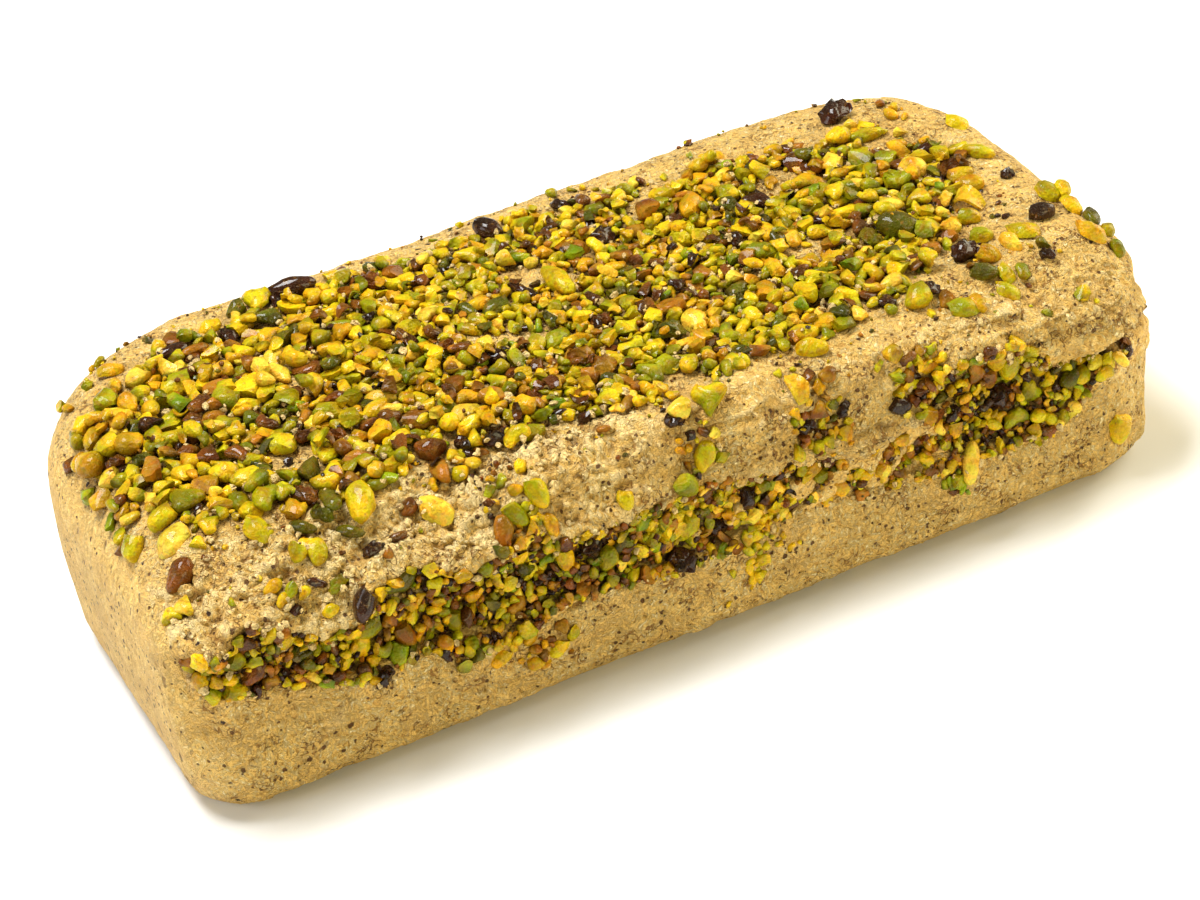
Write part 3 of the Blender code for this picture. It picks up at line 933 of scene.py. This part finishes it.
nutLook = {
    # flesh and skin of each kind of bit, and how often it comes on top, in the filling and as grit
    "pale": ((226, 194, 76), (194, 158, 36), 9, 5, 4),
    "yellow": ((213, 180, 24), (168, 146, 9), 25, 20, 8),
    "gold": ((203, 160, 22), (158, 119, 11), 15, 16, 15),
    "lime": ((196, 173, 20), (130, 124, 3), 20, 16, 10),
    "green": ((152, 144, 9), (102, 103, 3), 12, 9, 12),
    "fresh": ((146, 156, 16), (92, 112, 5), 2, 2, 0),
    "deepGreen": ((98, 94, 7), (62, 61, 3), 4, 5, 6),
    "toasted": ((158, 108, 26), (102, 62, 13), 7, 11, 16),
    "brown": ((122, 71, 20), (76, 40, 10), 6, 12, 20),
    "purple": ((60, 26, 14), (33, 13, 8), 5, 6, 10),
}


nutTints = {"ripe": (255, 236, 200), "young": (234, 246, 200), "browned": (228, 200, 140),
            "mark": (122, 82, 22)}


def nutMaterial():
    material, tree = newMaterial("choppedPistachio")
    place = objectPlace(tree)
    tints = {name: paint(*colour) for name, colour in nutTints.items()}
    flesh = attribute(tree, "flesh", "Color")
    blotch = noise(tree, place, 420.0)
    fine = noise(tree, place, 1800.0)
    edge = plus(tree, attribute(tree, "rind"), times(tree, blotch, 1.1))
    colour = mixColour(tree, spread(tree, edge, 0.35, 1.5), flesh, attribute(tree, "skin", "Color"))
    unripe = spread(tree, noise(tree, place, 330.0, Distortion=0.6), 0.42, 0.58)
    browned = spread(tree, noise(tree, place, 260.0, 3.0, Roughness=0.6), 0.50, 0.68, 0.0, 0.9)
    mark = spread(tree, noise(tree, place, 640.0, 3.0, Roughness=0.65), 0.56, 0.70, 0.0, 0.6)
    tint = mixColour(tree, unripe, tints["ripe"], tints["young"])
    colour = mixColour(tree, 1.0, colour, tint, "MULTIPLY")
    colour = mixColour(tree, browned, colour, tints["browned"], "MULTIPLY")
    colour = mixColour(tree, mark, colour, tints["mark"])
    colour = dapple(tree, colour, blotch, 0.3, 0.7, 0.84, 1.10)
    colour = dapple(tree, colour, fine, 0.3, 0.7, 0.93, 1.16)

    # dark bits are wrinkled, shiny skins
    lightness = addNode(tree, "ShaderNodeRGBToBW", i0=flesh).outputs[0]
    wrinkled = spread(tree, lightness, 0.03, 0.16, 1.0, 0.0)
    folds = offMiddle(tree, noise(tree, place, 850.0, 1.0, Distortion=1.2), 0.5)
    height = plus(tree, fine, times(tree, blotch, 3.0))
    height = plus(tree, height, times(tree, times(tree, folds, wrinkled), 9.0))
    setShader(tree, {
        "Base Color": colour, "Roughness": spread(tree, blotch, 0.3, 0.7, 0.20, 0.40),
        "Coat Weight": maths(tree, "MULTIPLY_ADD", wrinkled, 0.3, 0.18), "Coat Roughness": 0.06,
        "Specular IOR Level": 0.16, "Specular Tint": (1.0, 0.86, 0.5, 1.0)}, height, 0.7, 0.5 * mm)
    return material


nutFinish = nutMaterial()


def nutColours(kind, draw, shade=1.0):
    flesh, skin = nutLook[kind][:2]
    lighter = draw.uniform(0.88, 1.08) * shade
    warmer = draw.uniform(-0.05, 0.05)
    tints = (lighter * (1 + warmer), lighter, lighter * (1 - 2 * warmer))
    return [[min(1.0, part * tint) for part, tint in zip(paint(*colour), tints)] + [1.0]
            for colour in (flesh, skin)]


def pickKind(draw, column):
    kinds = list(nutLook)
    return draw.choices(kinds, [nutLook[kind][column] for kind in kinds])[0]


fieldLook = {
    # two corners of each field and the way it looks; the edge of its squares, and how far off it
    # looks from, all in metres
    "top": ((-0.131, -0.066), (0.131, 0.066), (0, 0, -1)),
    "face": ((-0.131, 0.0), (0.131, 0.060), (0, 1, 0)),
    "step": 0.6 * mm, "away": 0.09,
}


def castField(name, pieces):
    # heights of the surface over a grid: "top" looks down on it, "face" looks in from the front
    graph = bpy.context.evaluated_depsgraph_get()
    trees = [BVHTree.FromObject(piece, graph) for piece in pieces]
    low, high, way = fieldLook[name]
    step, away = fieldLook["step"], fieldLook["away"]
    counts = [int((high[axis] - low[axis]) / step) for axis in (0, 1)]
    ground = np.full(counts, -1.0)
    for i, j in np.ndindex(*counts):
        u, v = low[0] + i * step, low[1] + j * step
        start = Vector((u, v, away)) if name == "top" else Vector((u, -away, v))
        hits = [tree.ray_cast(start, Vector(way))[3] for tree in trees]
        hits = [distance for distance in hits if distance is not None]
        if hits:
            ground[i, j] = away - min(hits)
    print(name, "field ready")
    return {"name": name, "low": low, "step": step, "ground": ground, "heights": ground.copy()}


def windowAt(field, u, v, reach):
    step = field["step"]
    i = int((u - field["low"][0]) / step)
    j = int((v - field["low"][1]) / step)
    around = max(1, int(reach / step + 0.5))
    across, along = field["heights"].shape
    if min(i, j) < around or i + around >= across or j + around >= along:
        return None
    return slice(i - around, i + around + 1), slice(j - around, j + around + 1), around


def layBit(field, kind, u, v, length, turn, sink, draw, colour, flip=None, shape=None):
    # lays one bit on what is there already, and the heap grows by it
    found = windowAt(field, u, v, 0.5 * length)
    if found is None:
        return None
    *window, around = found
    ground = field["ground"][tuple(window)]
    heights = field["heights"][tuple(window)]
    step = np.arange(-around, around + 1) * field["step"]
    du, dv = step[:, None], step[None, :]
    names = [thing.name for thing in shelves[kind].objects]
    picked = names[draw.randrange(len(names)) if shape is None else shape]
    stretch = (1.0, draw.uniform(0.85, 1.12), draw.uniform(0.82, 1.08))
    width, thick = (share * length * part for share, part in zip(shapeSizes[picked], stretch[1:]))
    along = du * math.cos(turn) + dv * math.sin(turn)
    across = dv * math.cos(turn) - du * math.sin(turn)
    share = (along / (0.5 * length)) ** 2 + (across / (0.5 * width)) ** 2
    under = share < 1.0
    if not under.any() or (ground[under] < 0).any():
        return None

    # it rests on the upper part of what is under it, and leaves a dome there
    restsOn, domeShare = 60, 0.45
    middle = float(np.percentile(heights[under], restsOn)) + thick * (0.5 - sink)
    dome = middle + domeShare * thick * np.sqrt(np.clip(1.0 - share, 0.0, 1.0))
    heights[under] = np.maximum(heights[under], dome[under])

    # it leans with the heap, and a little by chance, small bits more than large ones
    steepest = 0.8
    lean = 0.10 if length > 5 * mm else 0.28
    weight = float((step ** 2).sum()) * len(step)
    slopes = [float((side * heights).sum()) / weight for side in (du, dv)]
    tilts = [-max(-steepest, min(steepest, slope)) + draw.gauss(0, lean) for slope in slopes]
    up = Vector((*tilts, 1.0)).normalized()
    forward = Vector((math.cos(turn), math.sin(turn), 0.0))
    forward = (forward - up * forward.dot(up)).normalized()
    basis = Matrix((forward, up.cross(forward), up)).transposed()
    place = Vector((u, v, middle))
    if field["name"] == "face":
        outward = Matrix(((1, 0, 0), (0, 0, -1), (0, 1, 0)))
        basis = outward @ basis
        place = outward @ place
    if flip or (flip is None and draw.random() < 0.5):
        basis = basis @ Matrix.Rotation(math.pi, 3, "X")
    flesh, skin = nutColours(colour, draw, fillingLook["shade"] if field["name"] == "face" else 1.0)
    return {"kind": kind, "place": place, "turn": basis.to_euler(), "shape": names.index(picked),
            "size": [length * part for part in stretch], "flesh": flesh, "skin": skin}


def layKernels(field, kernels, sink, draw):
    # the bits that have a place of their own: kernels, or the kind that comes last in the row
    bits = []
    for u, v, length, turn, shape, colour, *other in kernels:
        bit = layBit(field, other[0] if other else "kernels", u * mm, v * mm, length * mm,
                     math.radians(turn), sink, draw, colour, False, shape)
        if bit:
            bits.append(bit)
    return bits


smallPurple = 0.72      # purple bits are smaller than the others


def pour(field, kind, count, lengths, sink, cover, draw, column, area, tries, highest, colours=None):
    # many bits of one kind, each in the lowest of a few places where the cover lets it lie; their
    # lengths and how high they may lie are in millimetres, the area is in metres
    lengths = [length * mm for length in lengths]
    laid = []
    for _ in range(count * 3):
        if len(laid) >= count:
            break
        length = draw.triangular(*lengths)
        best = None
        for _ in range(tries):
            u, v = draw.uniform(*area[0]), draw.uniform(*area[1])
            if draw.random() > cover(u, v):
                continue
            found = windowAt(field, u, v, 0.3 * length)
            if found is None:
                continue
            rise = float((field["heights"][found[:2]] - field["ground"][found[:2]]).mean())
            if best is None or rise < best[0]:
                best = (rise, u, v)
        if best is None or best[0] > highest * mm:
            continue
        colour = pickKind(draw, column) if colours is None else draw.choice(colours)
        if kind == "chunks" and colour == "purple":
            length *= smallPurple
        if kind == "chunks" and field["name"] == "top":
            length *= coarseness(best[1])
        bit = layBit(field, kind, best[1], best[2], length, draw.uniform(0, 2 * math.pi), sink, draw, colour)
        if bit:
            laid.append(bit)
    print("laid", len(laid), "of", kind)
    return laid


def scatter(name, bits, kind, finish):
    # the bits become points that carry their own size, turn and colours; the copies are made real
    mesh = bpy.data.meshes.new(name)
    mesh.from_pydata([bit["place"] for bit in bits], [], [])
    piece = bpy.data.objects.new(name, mesh)
    bpy.context.scene.collection.objects.link(piece)
    for key, form, slot in (("turn", "FLOAT_VECTOR", "vector"), ("size", "FLOAT_VECTOR", "vector"),
                            ("shape", "INT", "value"), ("flesh", "FLOAT_COLOR", "color"),
                            ("skin", "FLOAT_COLOR", "color")):
        layer = mesh.attributes.new(key, form, "POINT")
        for item, bit in zip(layer.data, bits):
            setattr(item, slot, bit[key])
    tree = bpy.data.node_groups.new(name + "Scatter", "GeometryNodeTree")
    for side in ("INPUT", "OUTPUT"):
        tree.interface.new_socket(name="Geometry", in_out=side, socket_type="NodeSocketGeometry")
    given = tree.nodes.new("NodeGroupInput")
    out = tree.nodes.new("NodeGroupOutput")
    shapes = addNode(tree, "GeometryNodeCollectionInfo", i0=shelves[kind], i1=True, i2=True)

    def stored(label, form):
        return addNode(tree, "GeometryNodeInputNamedAttribute", {"data_type": form}, i0=label).outputs[0]

    copies = addNode(tree, "GeometryNodeInstanceOnPoints", **{
        "Points": given.outputs[0], "Instance": shapes.outputs[0], "Pick Instance": True,
        "Instance Index": stored("shape", "INT"), "Rotation": stored("turn", "FLOAT_VECTOR"),
        "Scale": stored("size", "FLOAT_VECTOR")})
    real = addNode(tree, "GeometryNodeRealizeInstances", i0=copies.outputs[0])
    tree.links.new(real.outputs[0], out.inputs[0])
    addModifier(piece, "NODES", node_group=tree)
    applyAll(piece)
    piece.data.materials.clear()
    piece.data.materials.append(finish)
    print(name, "has", len(bits), "bits,", len(piece.data.polygons), "faces")
    return piece


def coarseness(x):
    # the nuts are larger towards the near end, and finest in the middle
    return float(np.interp(x / mm, (-120, -60, -20, 30, 80, 120), (1.22, 1.12, 0.88, 0.92, 1.08, 1.1)))


def strayCover(x, y):
    return 0.5 if toppingCover(x, y) < 0.5 else 0.0


# the bits on top that have their own places: x, y, length in millimetres, turn in degrees, shape, colours
topKernels = [
    (-56, 45, 14, 160, 4, "purple"), (-43, 45, 8, 160, 2, "yellow"), (-39, 36, 9, 150, 7, "brown"),
    (-70, 45, 6, 20, 3, "deepGreen"), (-76, -47, 11, 72, 0, "yellow"), (-79, -35, 9, 6, 8, "yellow"),
    (-76, -16, 7, 145, 7, "brown"), (-71, -20, 7, 142, 7, "brown"), (-68, -10, 9, 157, 1, "lime"),
    (-56, -11, 8, 140, 0, "pale"), (-43, -29, 9, 16, 2, "pale"), (-52, -25, 8, 150, 1, "toasted"),
    (-55, -30, 5, 145, 3, "green"), (-112, -4, 6, 145, 7, "deepGreen"), (-91, -23, 6, 145, 3, "deepGreen"),
    (-86, -38, 8, 110, 7, "brown"), (-119, -44, 9, 30, 0, "brown"), (-117, -35, 9, 30, 2, "pale"),
    (-124, -27, 7, 40, 1, "lime"), (-120, -2, 6, 0, 3, "pale"), (-61, -52, 9, 116, 2, "pale"),
    (-66, -49, 5, 37, 3, "brown"), (-81, -51, 7, 135, 4, "deepGreen"), (-99, -42, 8, 107, 2, "lime"),
    (-99, -32, 6, 85, 3, "green"), (-90, 36, 9, 10, 4, "purple"), (-105, 39, 7, 160, 0, "gold"),
    (-96, 32, 7, 145, 2, "lime"), (-78, 18, 6, 145, 3, "green"), (-83, 22, 7, 160, 6, "pale"),
    (-90, -52, 8, 100, 5, "yellow"), (-117, 1, 6, 145, 7, "brown"), (-116, -27, 8, 20, 1, "lime"),
    (-85, -46, 6, 120, 7, "deepGreen"), (-90, -46, 7, 130, 4, "deepGreen"), (-78.5, -56, 5, 0, 7, "purple"),
    (-94, -52, 5, 60, 3, "lime"), (-3, -57, 5, 150, 7, "purple"), (0, 9, 14, 95, 4, "lime"),
    (10, 22, 9, 168, 2, "toasted"), (18, 22, 8, 30, 7, "purple"), (17, 43, 6, 136, 4, "purple"),
    (-3, 42, 8, 115, 1, "purple"), (-10, 37, 7, 152, 0, "gold"), (12, -25, 9, 145, 7, "deepGreen"),
    (20, -24, 9, 85, 0, "pale"), (1, -12, 6, 145, 7, "brown"), (-8, -36, 6, 135, 1, "deepGreen"),
    (-40, -42, 8, 150, 7, "purple"), (-33, -44, 7, 168, 1, "green"), (-4, -27, 7, 118, 2, "yellow"),
    (7, -55, 8, 102, 6, "lime"), (-1, -56, 6, 0, 3, "pale"), (38, -43, 8, 163, 0, "yellow"),
    (37, -49, 8, 148, 0, "yellow"), (43, 22, 9, 45, 1, "gold"), (57, -1, 9, 102, 4, "yellow"),
    (47, -8, 8, 133, 1, "green"), (95, 41, 10, 20, 7, "purple"), (119, 20, 7, 118, 2, "yellow"),
    (115, 3, 9, 124, 4, "lime"), (79, 27, 9, 116, 2, "lime"), (72, 15, 9, 144, 8, "gold"),
    (80, -17, 11, 135, 1, "deepGreen"), (96, 27, 10, 170, 4, "lime"), (104, -34, 9, 130, 2, "lime"),
    (112, -30, 7, 157, 1, "purple"), (118, -43, 9, 137, 2, "gold"), (119, -23, 7, 120, 1, "lime"),
    (121, -30, 7, 110, 0, "yellow"), (123, -36, 6, 60, 1, "deepGreen"), (122, -25, 5, 80, 3, "yellow"),
    (124, -41, 5, 30, 3, "green"), (123, -47, 5, 90, 3, "green"), (87, -35, 8, 12, 7, "purple"),
    (92, -38, 7, 153, 3, "gold"), (87, -44, 7, 150, 1, "deepGreen"), (92, -46, 6, 100, 2, "lime"),
    (96, -47, 5, 60, 3, "green"), (89, -51, 7, 120, 2, "lime"), (99, -37, 7, 100, 0, "pale"),
    (104, -45, 5, 110, 7, "purple"), (76, -52, 8, 138, 2, "green"), (80, -53, 6, 90, 0, "gold"),
    (74, -48, 5, 40, 3, "toasted"), (68, -45, 8, 23, 3, "lime"), (72, -44, 6, 0, 7, "purple"),
    (36, -58, 5, 0, 3, "toasted"), (28, -58, 8, 88, 1, "pale", "skins"),
    (100, -15, 9, 122, 2, "pale", "skins"), (105, -9, 7, 131, 1, "gold"), (95, -30, 6, 145, 1, "lime"),
    (97, -21, 6, 145, 3, "lime"), (106, 0, 9, 170, 7, "brown"), (115, -10, 4, 0, 7, "purple"),
    (-85, 34, 8, 10, 4, "toasted"), (-76, 35, 7, 90, 7, "purple"), (-78, 43, 6, 20, 2, "yellow"),
    (-94, 22, 9, 10, 1, "lime"), (-70, 20, 8, 10, 2, "pale"), (-62, 26, 6, 60, 3, "deepGreen"),
    (-51, 22, 9, 150, 4, "green"), (-9, 12, 8, 110, 4, "purple"), (-17, 8, 8, 10, 1, "deepGreen"),
    (-20, 12, 7, 10, 0, "gold"), (-11, -12, 8, 30, 2, "green"), (-10, -23, 8, 140, 7, "toasted"),
    (-8, -31, 8, 60, 7, "toasted"),
]


def pourTopping(field):
    draw = random.Random(2024)
    look = toppingLook
    bits = layKernels(field, topKernels, 0.12, draw)
    # kind, count, lengths, sink, cover, which column of colours, tries and how high it may lie
    plan = [
        ("grit", look["bedding"], (0.8, 2.2, 1.3), 0.1, toppingCover, 4, 2, 9),
        ("kernels", look["kernels"], (5.5, 8.5, 6.5), 0.08, toppingCover, 2, 8, 0.6),
        ("chunks", look["chunks"], (2.7, 7.4, 4.4), 0.06, toppingCover, 2, 8, 0.75),
        ("small", look["small"], (1.4, 3.2, 2.2), 0.1, toppingCover, 2, 8, 0.7),
        ("skins", look["skins"], (2.5, 5.5, 3.5), 0.0, toppingCover, 4, 3, 2.4),
        ("chunks", look["heaped"], (2.6, 5.6, 3.8), 0.1, toppingCover, 2, 2, 3.5),
        ("grit", look["grit"], (0.6, 1.6, 1.0), 0.1, toppingCover, 4, 5, 0.8),
        ("chunks", look["strays"], (1.8, 6.0, 3.2), 0.15, strayCover, 2, 4, 1.0),
        ("grit", look["strayGrit"], (0.6, 1.8, 1.0), 0.15, strayCover, 4, 4, 1.0),
    ]
    for kind, count, lengths, sink, cover, column, tries, highest in plan:
        bits += pour(field, kind, count, lengths, sink, cover, draw, column, look["area"], tries, highest)
    return bits


def makeScattered(prefix, bits, node, finish=nutFinish):
    for kind in shelves:
        chosen = [bit for bit in bits if bit["kind"] == kind]
        if not chosen:
            continue
        piece = scatter(prefix + kind.capitalize(), chosen, kind, finish)
        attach(piece, "root")
        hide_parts(node)


topField = castField("top", [halvaLoaf])
makeScattered("topping", pourTopping(topField), "pistachio_topping")


fillingLook = {
    "shade": 1.12,      # the band is turned from the light, so its nuts are painted a little lighter
    "bedding": (1.0, 2.2, 1.5),
    # the grit that beds the band's nuts: real dark bits, picked dark so that the gaps between the nuts also
    # carry painted shade
    "dark": ["brown", "purple", "deepGreen", "toasted", "purple"],
    "lengths": {"chunks": (1.9, 5.6, 3.0), "skins": (2.0, 4.5, 3.0), "small": (1.1, 2.7, 1.8),
                "grit": (0.6, 1.5, 0.9)},
    # stretches of the band, near, middle and far: from x to x in millimetres, how deep its bits are
    # sunk, how much grit they are bedded in, and how many there are of each kind above
    "zones": [(-126, -20, 0.36, 760, (520, 60, 420, 420)), (-20, 60, 0.66, 120, (240, 16, 180, 180)),
              (58, 117, 0.42, 320, (260, 24, 200, 200))],
    # clusters pressed into the face beside the band: x, z, radius in millimetres, count, colours
    "clusters": [
        (-45, 50, 8, 30, None), (1, 50, 7, 7, None), (32, 46, 9, 20, None), (60, 46, 8, 30, None),
        (78, 42, 8, 30, None), (66, 20, 6, 8, ["green", "fresh", "lime"]),
        (-44, 17, 8, 7, ["gold", "toasted"]), (10, 22, 14, 12, ["lime", "yellow"]),
        (86, 36, 9, 24, None), (91, 31, 9, 50, ["fresh", "green", "green", "lime", "lime"])],
}

# the bits in the face that have their own places, as on top but with x and z
faceKernels = [
    (-75, 46, 8, 10, 0, "deepGreen"), (-111, 36, 7, 30, 0, "brown"), (-85, 46, 8, 60, 1, "purple"),
    (-49, 49, 8, 70, 0, "toasted"), (-45, 51, 7, 110, 1, "green"), (-39, 54, 8, 100, 1, "lime"),
    (-38, 47, 6, 90, 0, "gold"), (2, 48, 8, 60, 0, "lime"), (-4, 43.5, 7, 130, 1, "green"),
    (-4, 31, 8, 50, 0, "lime"), (3, 28, 6, 20, 7, "purple"), (-7, 24, 8, 150, 7, "purple"),
    (17, 29, 5, 100, 1, "yellow"), (28, 46, 5, 20, 7, "purple"), (38, 47, 5, 60, 7, "purple"),
    (53, 43, 6, 150, 1, "purple"), (66, 36, 5, 40, 7, "purple"), (69, 22, 11, 75, 4, "pale"),
    (64, 16, 3, 0, 7, "brown"), (-55, 17, 6, 20, 2, "gold"), (-47, 13, 5, 160, 0, "gold"),
    (-41, 14, 6, 40, 2, "yellow"), (-37, 17, 5, 80, 0, "lime"), (-64, 19, 5, 100, 1, "green"),
    (112, 14, 8, 75, 1, "yellow"), (-115, 41, 6, 140, 3, "green"), (-103, 41, 6, 20, 2, "lime"),
    (-92, 46, 4, 20, 2, "lime"), (-99, 48, 3.5, 0, 7, "purple"), (-101, 50.5, 4, 40, 0, "gold"),
    (-98.5, 51.5, 4, 40, 1, "green"), (-102, 52.5, 5, 20, 0, "gold"), (-92.5, 51, 5, 150, 4, "purple"),
    (-86, 31.5, 7, 80, 2, "yellow"), (-83, 35, 7, 20, 1, "green"), (-78, 27, 6, 70, 1, "fresh"),
    (-75, 30, 7, 110, 1, "toasted"), (-63, 28.5, 6, 90, 1, "green"), (-83, 24, 6, 40, 7, "purple"),
    (-116, 33, 6, 160, 1, "lime"), (-123, 37.5, 6, 90, 0, "gold"), (-35, 34.5, 7, 100, 1, "yellow"),
    (-28, 36, 8, 30, 7, "purple"), (-25, 31, 7, 60, 0, "green"), (-20, 25, 5, 40, 2, "lime"),
    (-15, 24, 5, 30, 2, "yellow"), (11, 34, 6, 60, 7, "purple"), (84, 40, 7, 20, 2, "green"),
    (93, 37, 7, 80, 0, "lime"), (78, 40, 7, 100, 1, "toasted"), (100, 32, 6, 30, 3, "deepGreen"),
    (84, 27, 7, 160, 8, "green"), (90, 31, 6, 60, 6, "green"), (-20, 47, 5, 90, 1, "yellow"),
    (74, 43, 7, 80, 5, "toasted"), (79, 46, 8, 95, 0, "gold"), (83, 42, 8, 85, 1, "lime"),
    (70, 46, 6, 80, 0, "green"), (81, 33, 7, 40, 7, "purple"), (76, 32, 5, 0, 7, "purple"),
    (103, 32, 5, 40, 3, "lime"), (107, 34, 5, 20, 0, "pale"), (110, 34, 5, 60, 2, "yellow"),
    (113, 34, 5, 100, 0, "pale"),
]


def clusterCover(midX, midZ, reach):
    # thick in the middle of a cluster and thinner all round; metres
    def cover(x, z):
        return math.exp(-((x - midX) ** 2 + (z - midZ) ** 2) / (0.6 * reach) ** 2)
    return cover


def pressFilling(field):
    draw = random.Random(77)
    look = fillingLook
    bits = layKernels(field, faceKernels, 0.3, draw)
    for start, end, sunk, bedding, counts in look["zones"]:
        area = ((start * mm, end * mm), (0.014, 0.056))
        bits += pour(field, "grit", bedding, look["bedding"], 0.3, fillingCover, draw, 3, area, 2, 0.9,
                     look["dark"])
        for (kind, lengths), count in zip(look["lengths"].items(), counts):
            sink = sunk if kind in ("chunks", "small") else 0.2
            bits += pour(field, kind, count, lengths, sink, fillingCover, draw, 3, area, 6, 0.9)
    for midX, midZ, radius, count, colours in look["clusters"]:
        reach = radius * mm
        area = [(middle * mm - reach, middle * mm + reach) for middle in (midX, midZ)]
        cover = clusterCover(midX * mm, midZ * mm, reach)
        for kind, lengths, sink in (("chunks", (2.0, 5.4, 3.4), 0.45), ("small", (1.2, 2.6, 1.8), 0.36)):
            bits += pour(field, kind, count, lengths, sink, cover, draw, 3, area, 6, 0.8, colours)
    return bits


faceField = castField("face", [halvaLoaf, fillingPaste])
makeScattered("filling", pressFilling(faceField), "pistachio_filling")


crumbLook = {
    "lip": 420, "crest": 70, "carpet": 380, "band": 220, "face": 60,     # how many crumbs lie where
    "lengths": (0.7, 2.8, 1.3), "sink": 0.55,
}


def lipCover(x, y):
    return float(smoothStep(-34, -46, y / mm) * smoothStep(4, -24, x / mm))


def crestCover(x, y):
    return float(smoothStep(-48, -54, y / mm))


def bandCover(x, z):
    # along the lip and the foot of the band, and thinner between them
    x, z = x / mm, z / mm
    lip, foot = alongFace("lip", x), alongFace("foot", x)
    edges = math.exp(-((z - lip - 0.8) / 2.0) ** 2) + 0.6 * math.exp(-((z - foot) / 1.6) ** 2)
    between = 0.02 if foot < z < lip else 0.0
    return min(1.0, edges + between)


def aboveCover(x, z):
    return 1.0 if z / mm > alongFace("lip", x / mm) else 0.03


def dropCrumbs(topField, faceField):
    draw = random.Random(909)
    look = crumbLook
    bits = []
    for field, name, cover, area in (
            (topField, "lip", lipCover, ((-0.126, 0.005), (-0.0635, -0.034))),
            (topField, "crest", crestCover, ((0.0, 0.124), (-0.0635, -0.048))),
            (topField, "carpet", toppingCover, toppingLook["area"]),
            (faceField, "band", bandCover, ((-0.124, 0.118), (0.016, 0.052))),
            (faceField, "face", aboveCover, ((-0.120, 0.124), (0.006, 0.056)))):
        bits += pour(field, "crumbs", look[name], look["lengths"], look["sink"], cover, draw,
                     2, area, 2, 2.5)
    return bits


makeScattered("halva", dropCrumbs(topField, faceField), "halva_block", halvaLoaf.data.materials[0])
crumbs = bpy.data.objects["halvaCrumbs"]
# a high relief paints the crumbs with the highlight of proud parts, so that they stay light in their own
# shadows
addLayer(crumbs, "relief", np.full(len(crumbs.data.vertices), 0.8))

for collection in shelves.values():
    for shape in list(collection.objects):
        bpy.data.objects.remove(shape)
    bpy.data.collections.remove(collection)


stageLook = {
    "floor": (0.77, 0.77, 0.77),
    "sky": 0.20, "skyColour": (1.0, 0.93, 0.78),
    # soft boxes: place, watts, width and height in metres, colour
    "lights": {"key": ((-0.22, 0.22, 0.95), 17.0, (0.5, 0.4), (1.0, 1.0, 1.0)),
               "left": ((-1.0, 0.0, 0.45), 4.9, (0.6, 0.6), (0.98, 0.98, 1.0)),
               "right": ((1.0, 0.1, 0.5), 12.3, (0.7, 0.7), (1.0, 0.93, 0.70)),
               "front": ((0.25, -1.1, 0.35), 8.0, (0.9, 0.5), (1.0, 0.92, 0.54))},
    "aim": (0.0, 0.0, 0.03),
}


def makeStage():
    floor = startShape("floor", bpy.ops.mesh.primitive_plane_add, size=8.0, location=(0.0, 0.0, 0.0))
    paper, tree = newMaterial("paper")
    setShader(tree, {"Base Color": (*stageLook["floor"], 1.0), "Roughness": 0.9})
    floor.data.materials.append(paper)

    world = bpy.data.worlds.new("studio")
    world.use_nodes = True
    sky = world.node_tree.nodes["Background"].inputs
    sky["Color"].default_value = (*stageLook["skyColour"], 1.0)
    sky["Strength"].default_value = stageLook["sky"]
    bpy.context.scene.world = world

    for name, (place, watts, sides, colour) in stageLook["lights"].items():
        light = bpy.data.lights.new(name, "AREA")
        light.shape = "RECTANGLE"
        light.energy = watts
        light.color = colour
        light.size, light.size_y = sides
        holder = bpy.data.objects.new(name, light)
        holder.location = place
        aim = Vector(stageLook["aim"]) - Vector(place)
        holder.rotation_euler = aim.to_track_quat("-Z", "Y").to_euler()
        bpy.context.scene.collection.objects.link(holder)


cameraLook = {
    # the view: round to the left of the broken face, from above, a little rolled; degrees and metres
    "turn": -22.82, "height": 34.63, "roll": -6.72, "away": 0.7828,
    "aim": (-0.0052, -0.0167, 0.0276), "lens": 97.83,
}


def makeCamera():
    turn, height, roll = (math.radians(cameraLook[key]) for key in ("turn", "height", "roll"))
    back = Vector((math.sin(turn) * math.cos(height), -math.cos(turn) * math.cos(height), math.sin(height)))
    right = Vector((math.cos(turn), math.sin(turn), 0.0))
    up = back.cross(right)
    rolledRight = right * math.cos(roll) + up * math.sin(roll)
    rolledUp = up * math.cos(roll) - right * math.sin(roll)
    camera = bpy.data.objects.new("camera", bpy.data.cameras.new("camera"))
    camera.data.sensor_width = 36.0
    camera.data.lens = cameraLook["lens"]
    camera.data.clip_start = 0.01
    stand = Vector(cameraLook["aim"]) + back * cameraLook["away"]
    axes = Matrix((rolledRight, rolledUp, back)).transposed().to_4x4()
    camera.matrix_world = Matrix.Translation(stand) @ axes
    bpy.context.scene.collection.objects.link(camera)
    bpy.context.scene.camera = camera


makeStage()
makeCamera()
bpy.context.scene.view_settings.view_transform = "Standard"
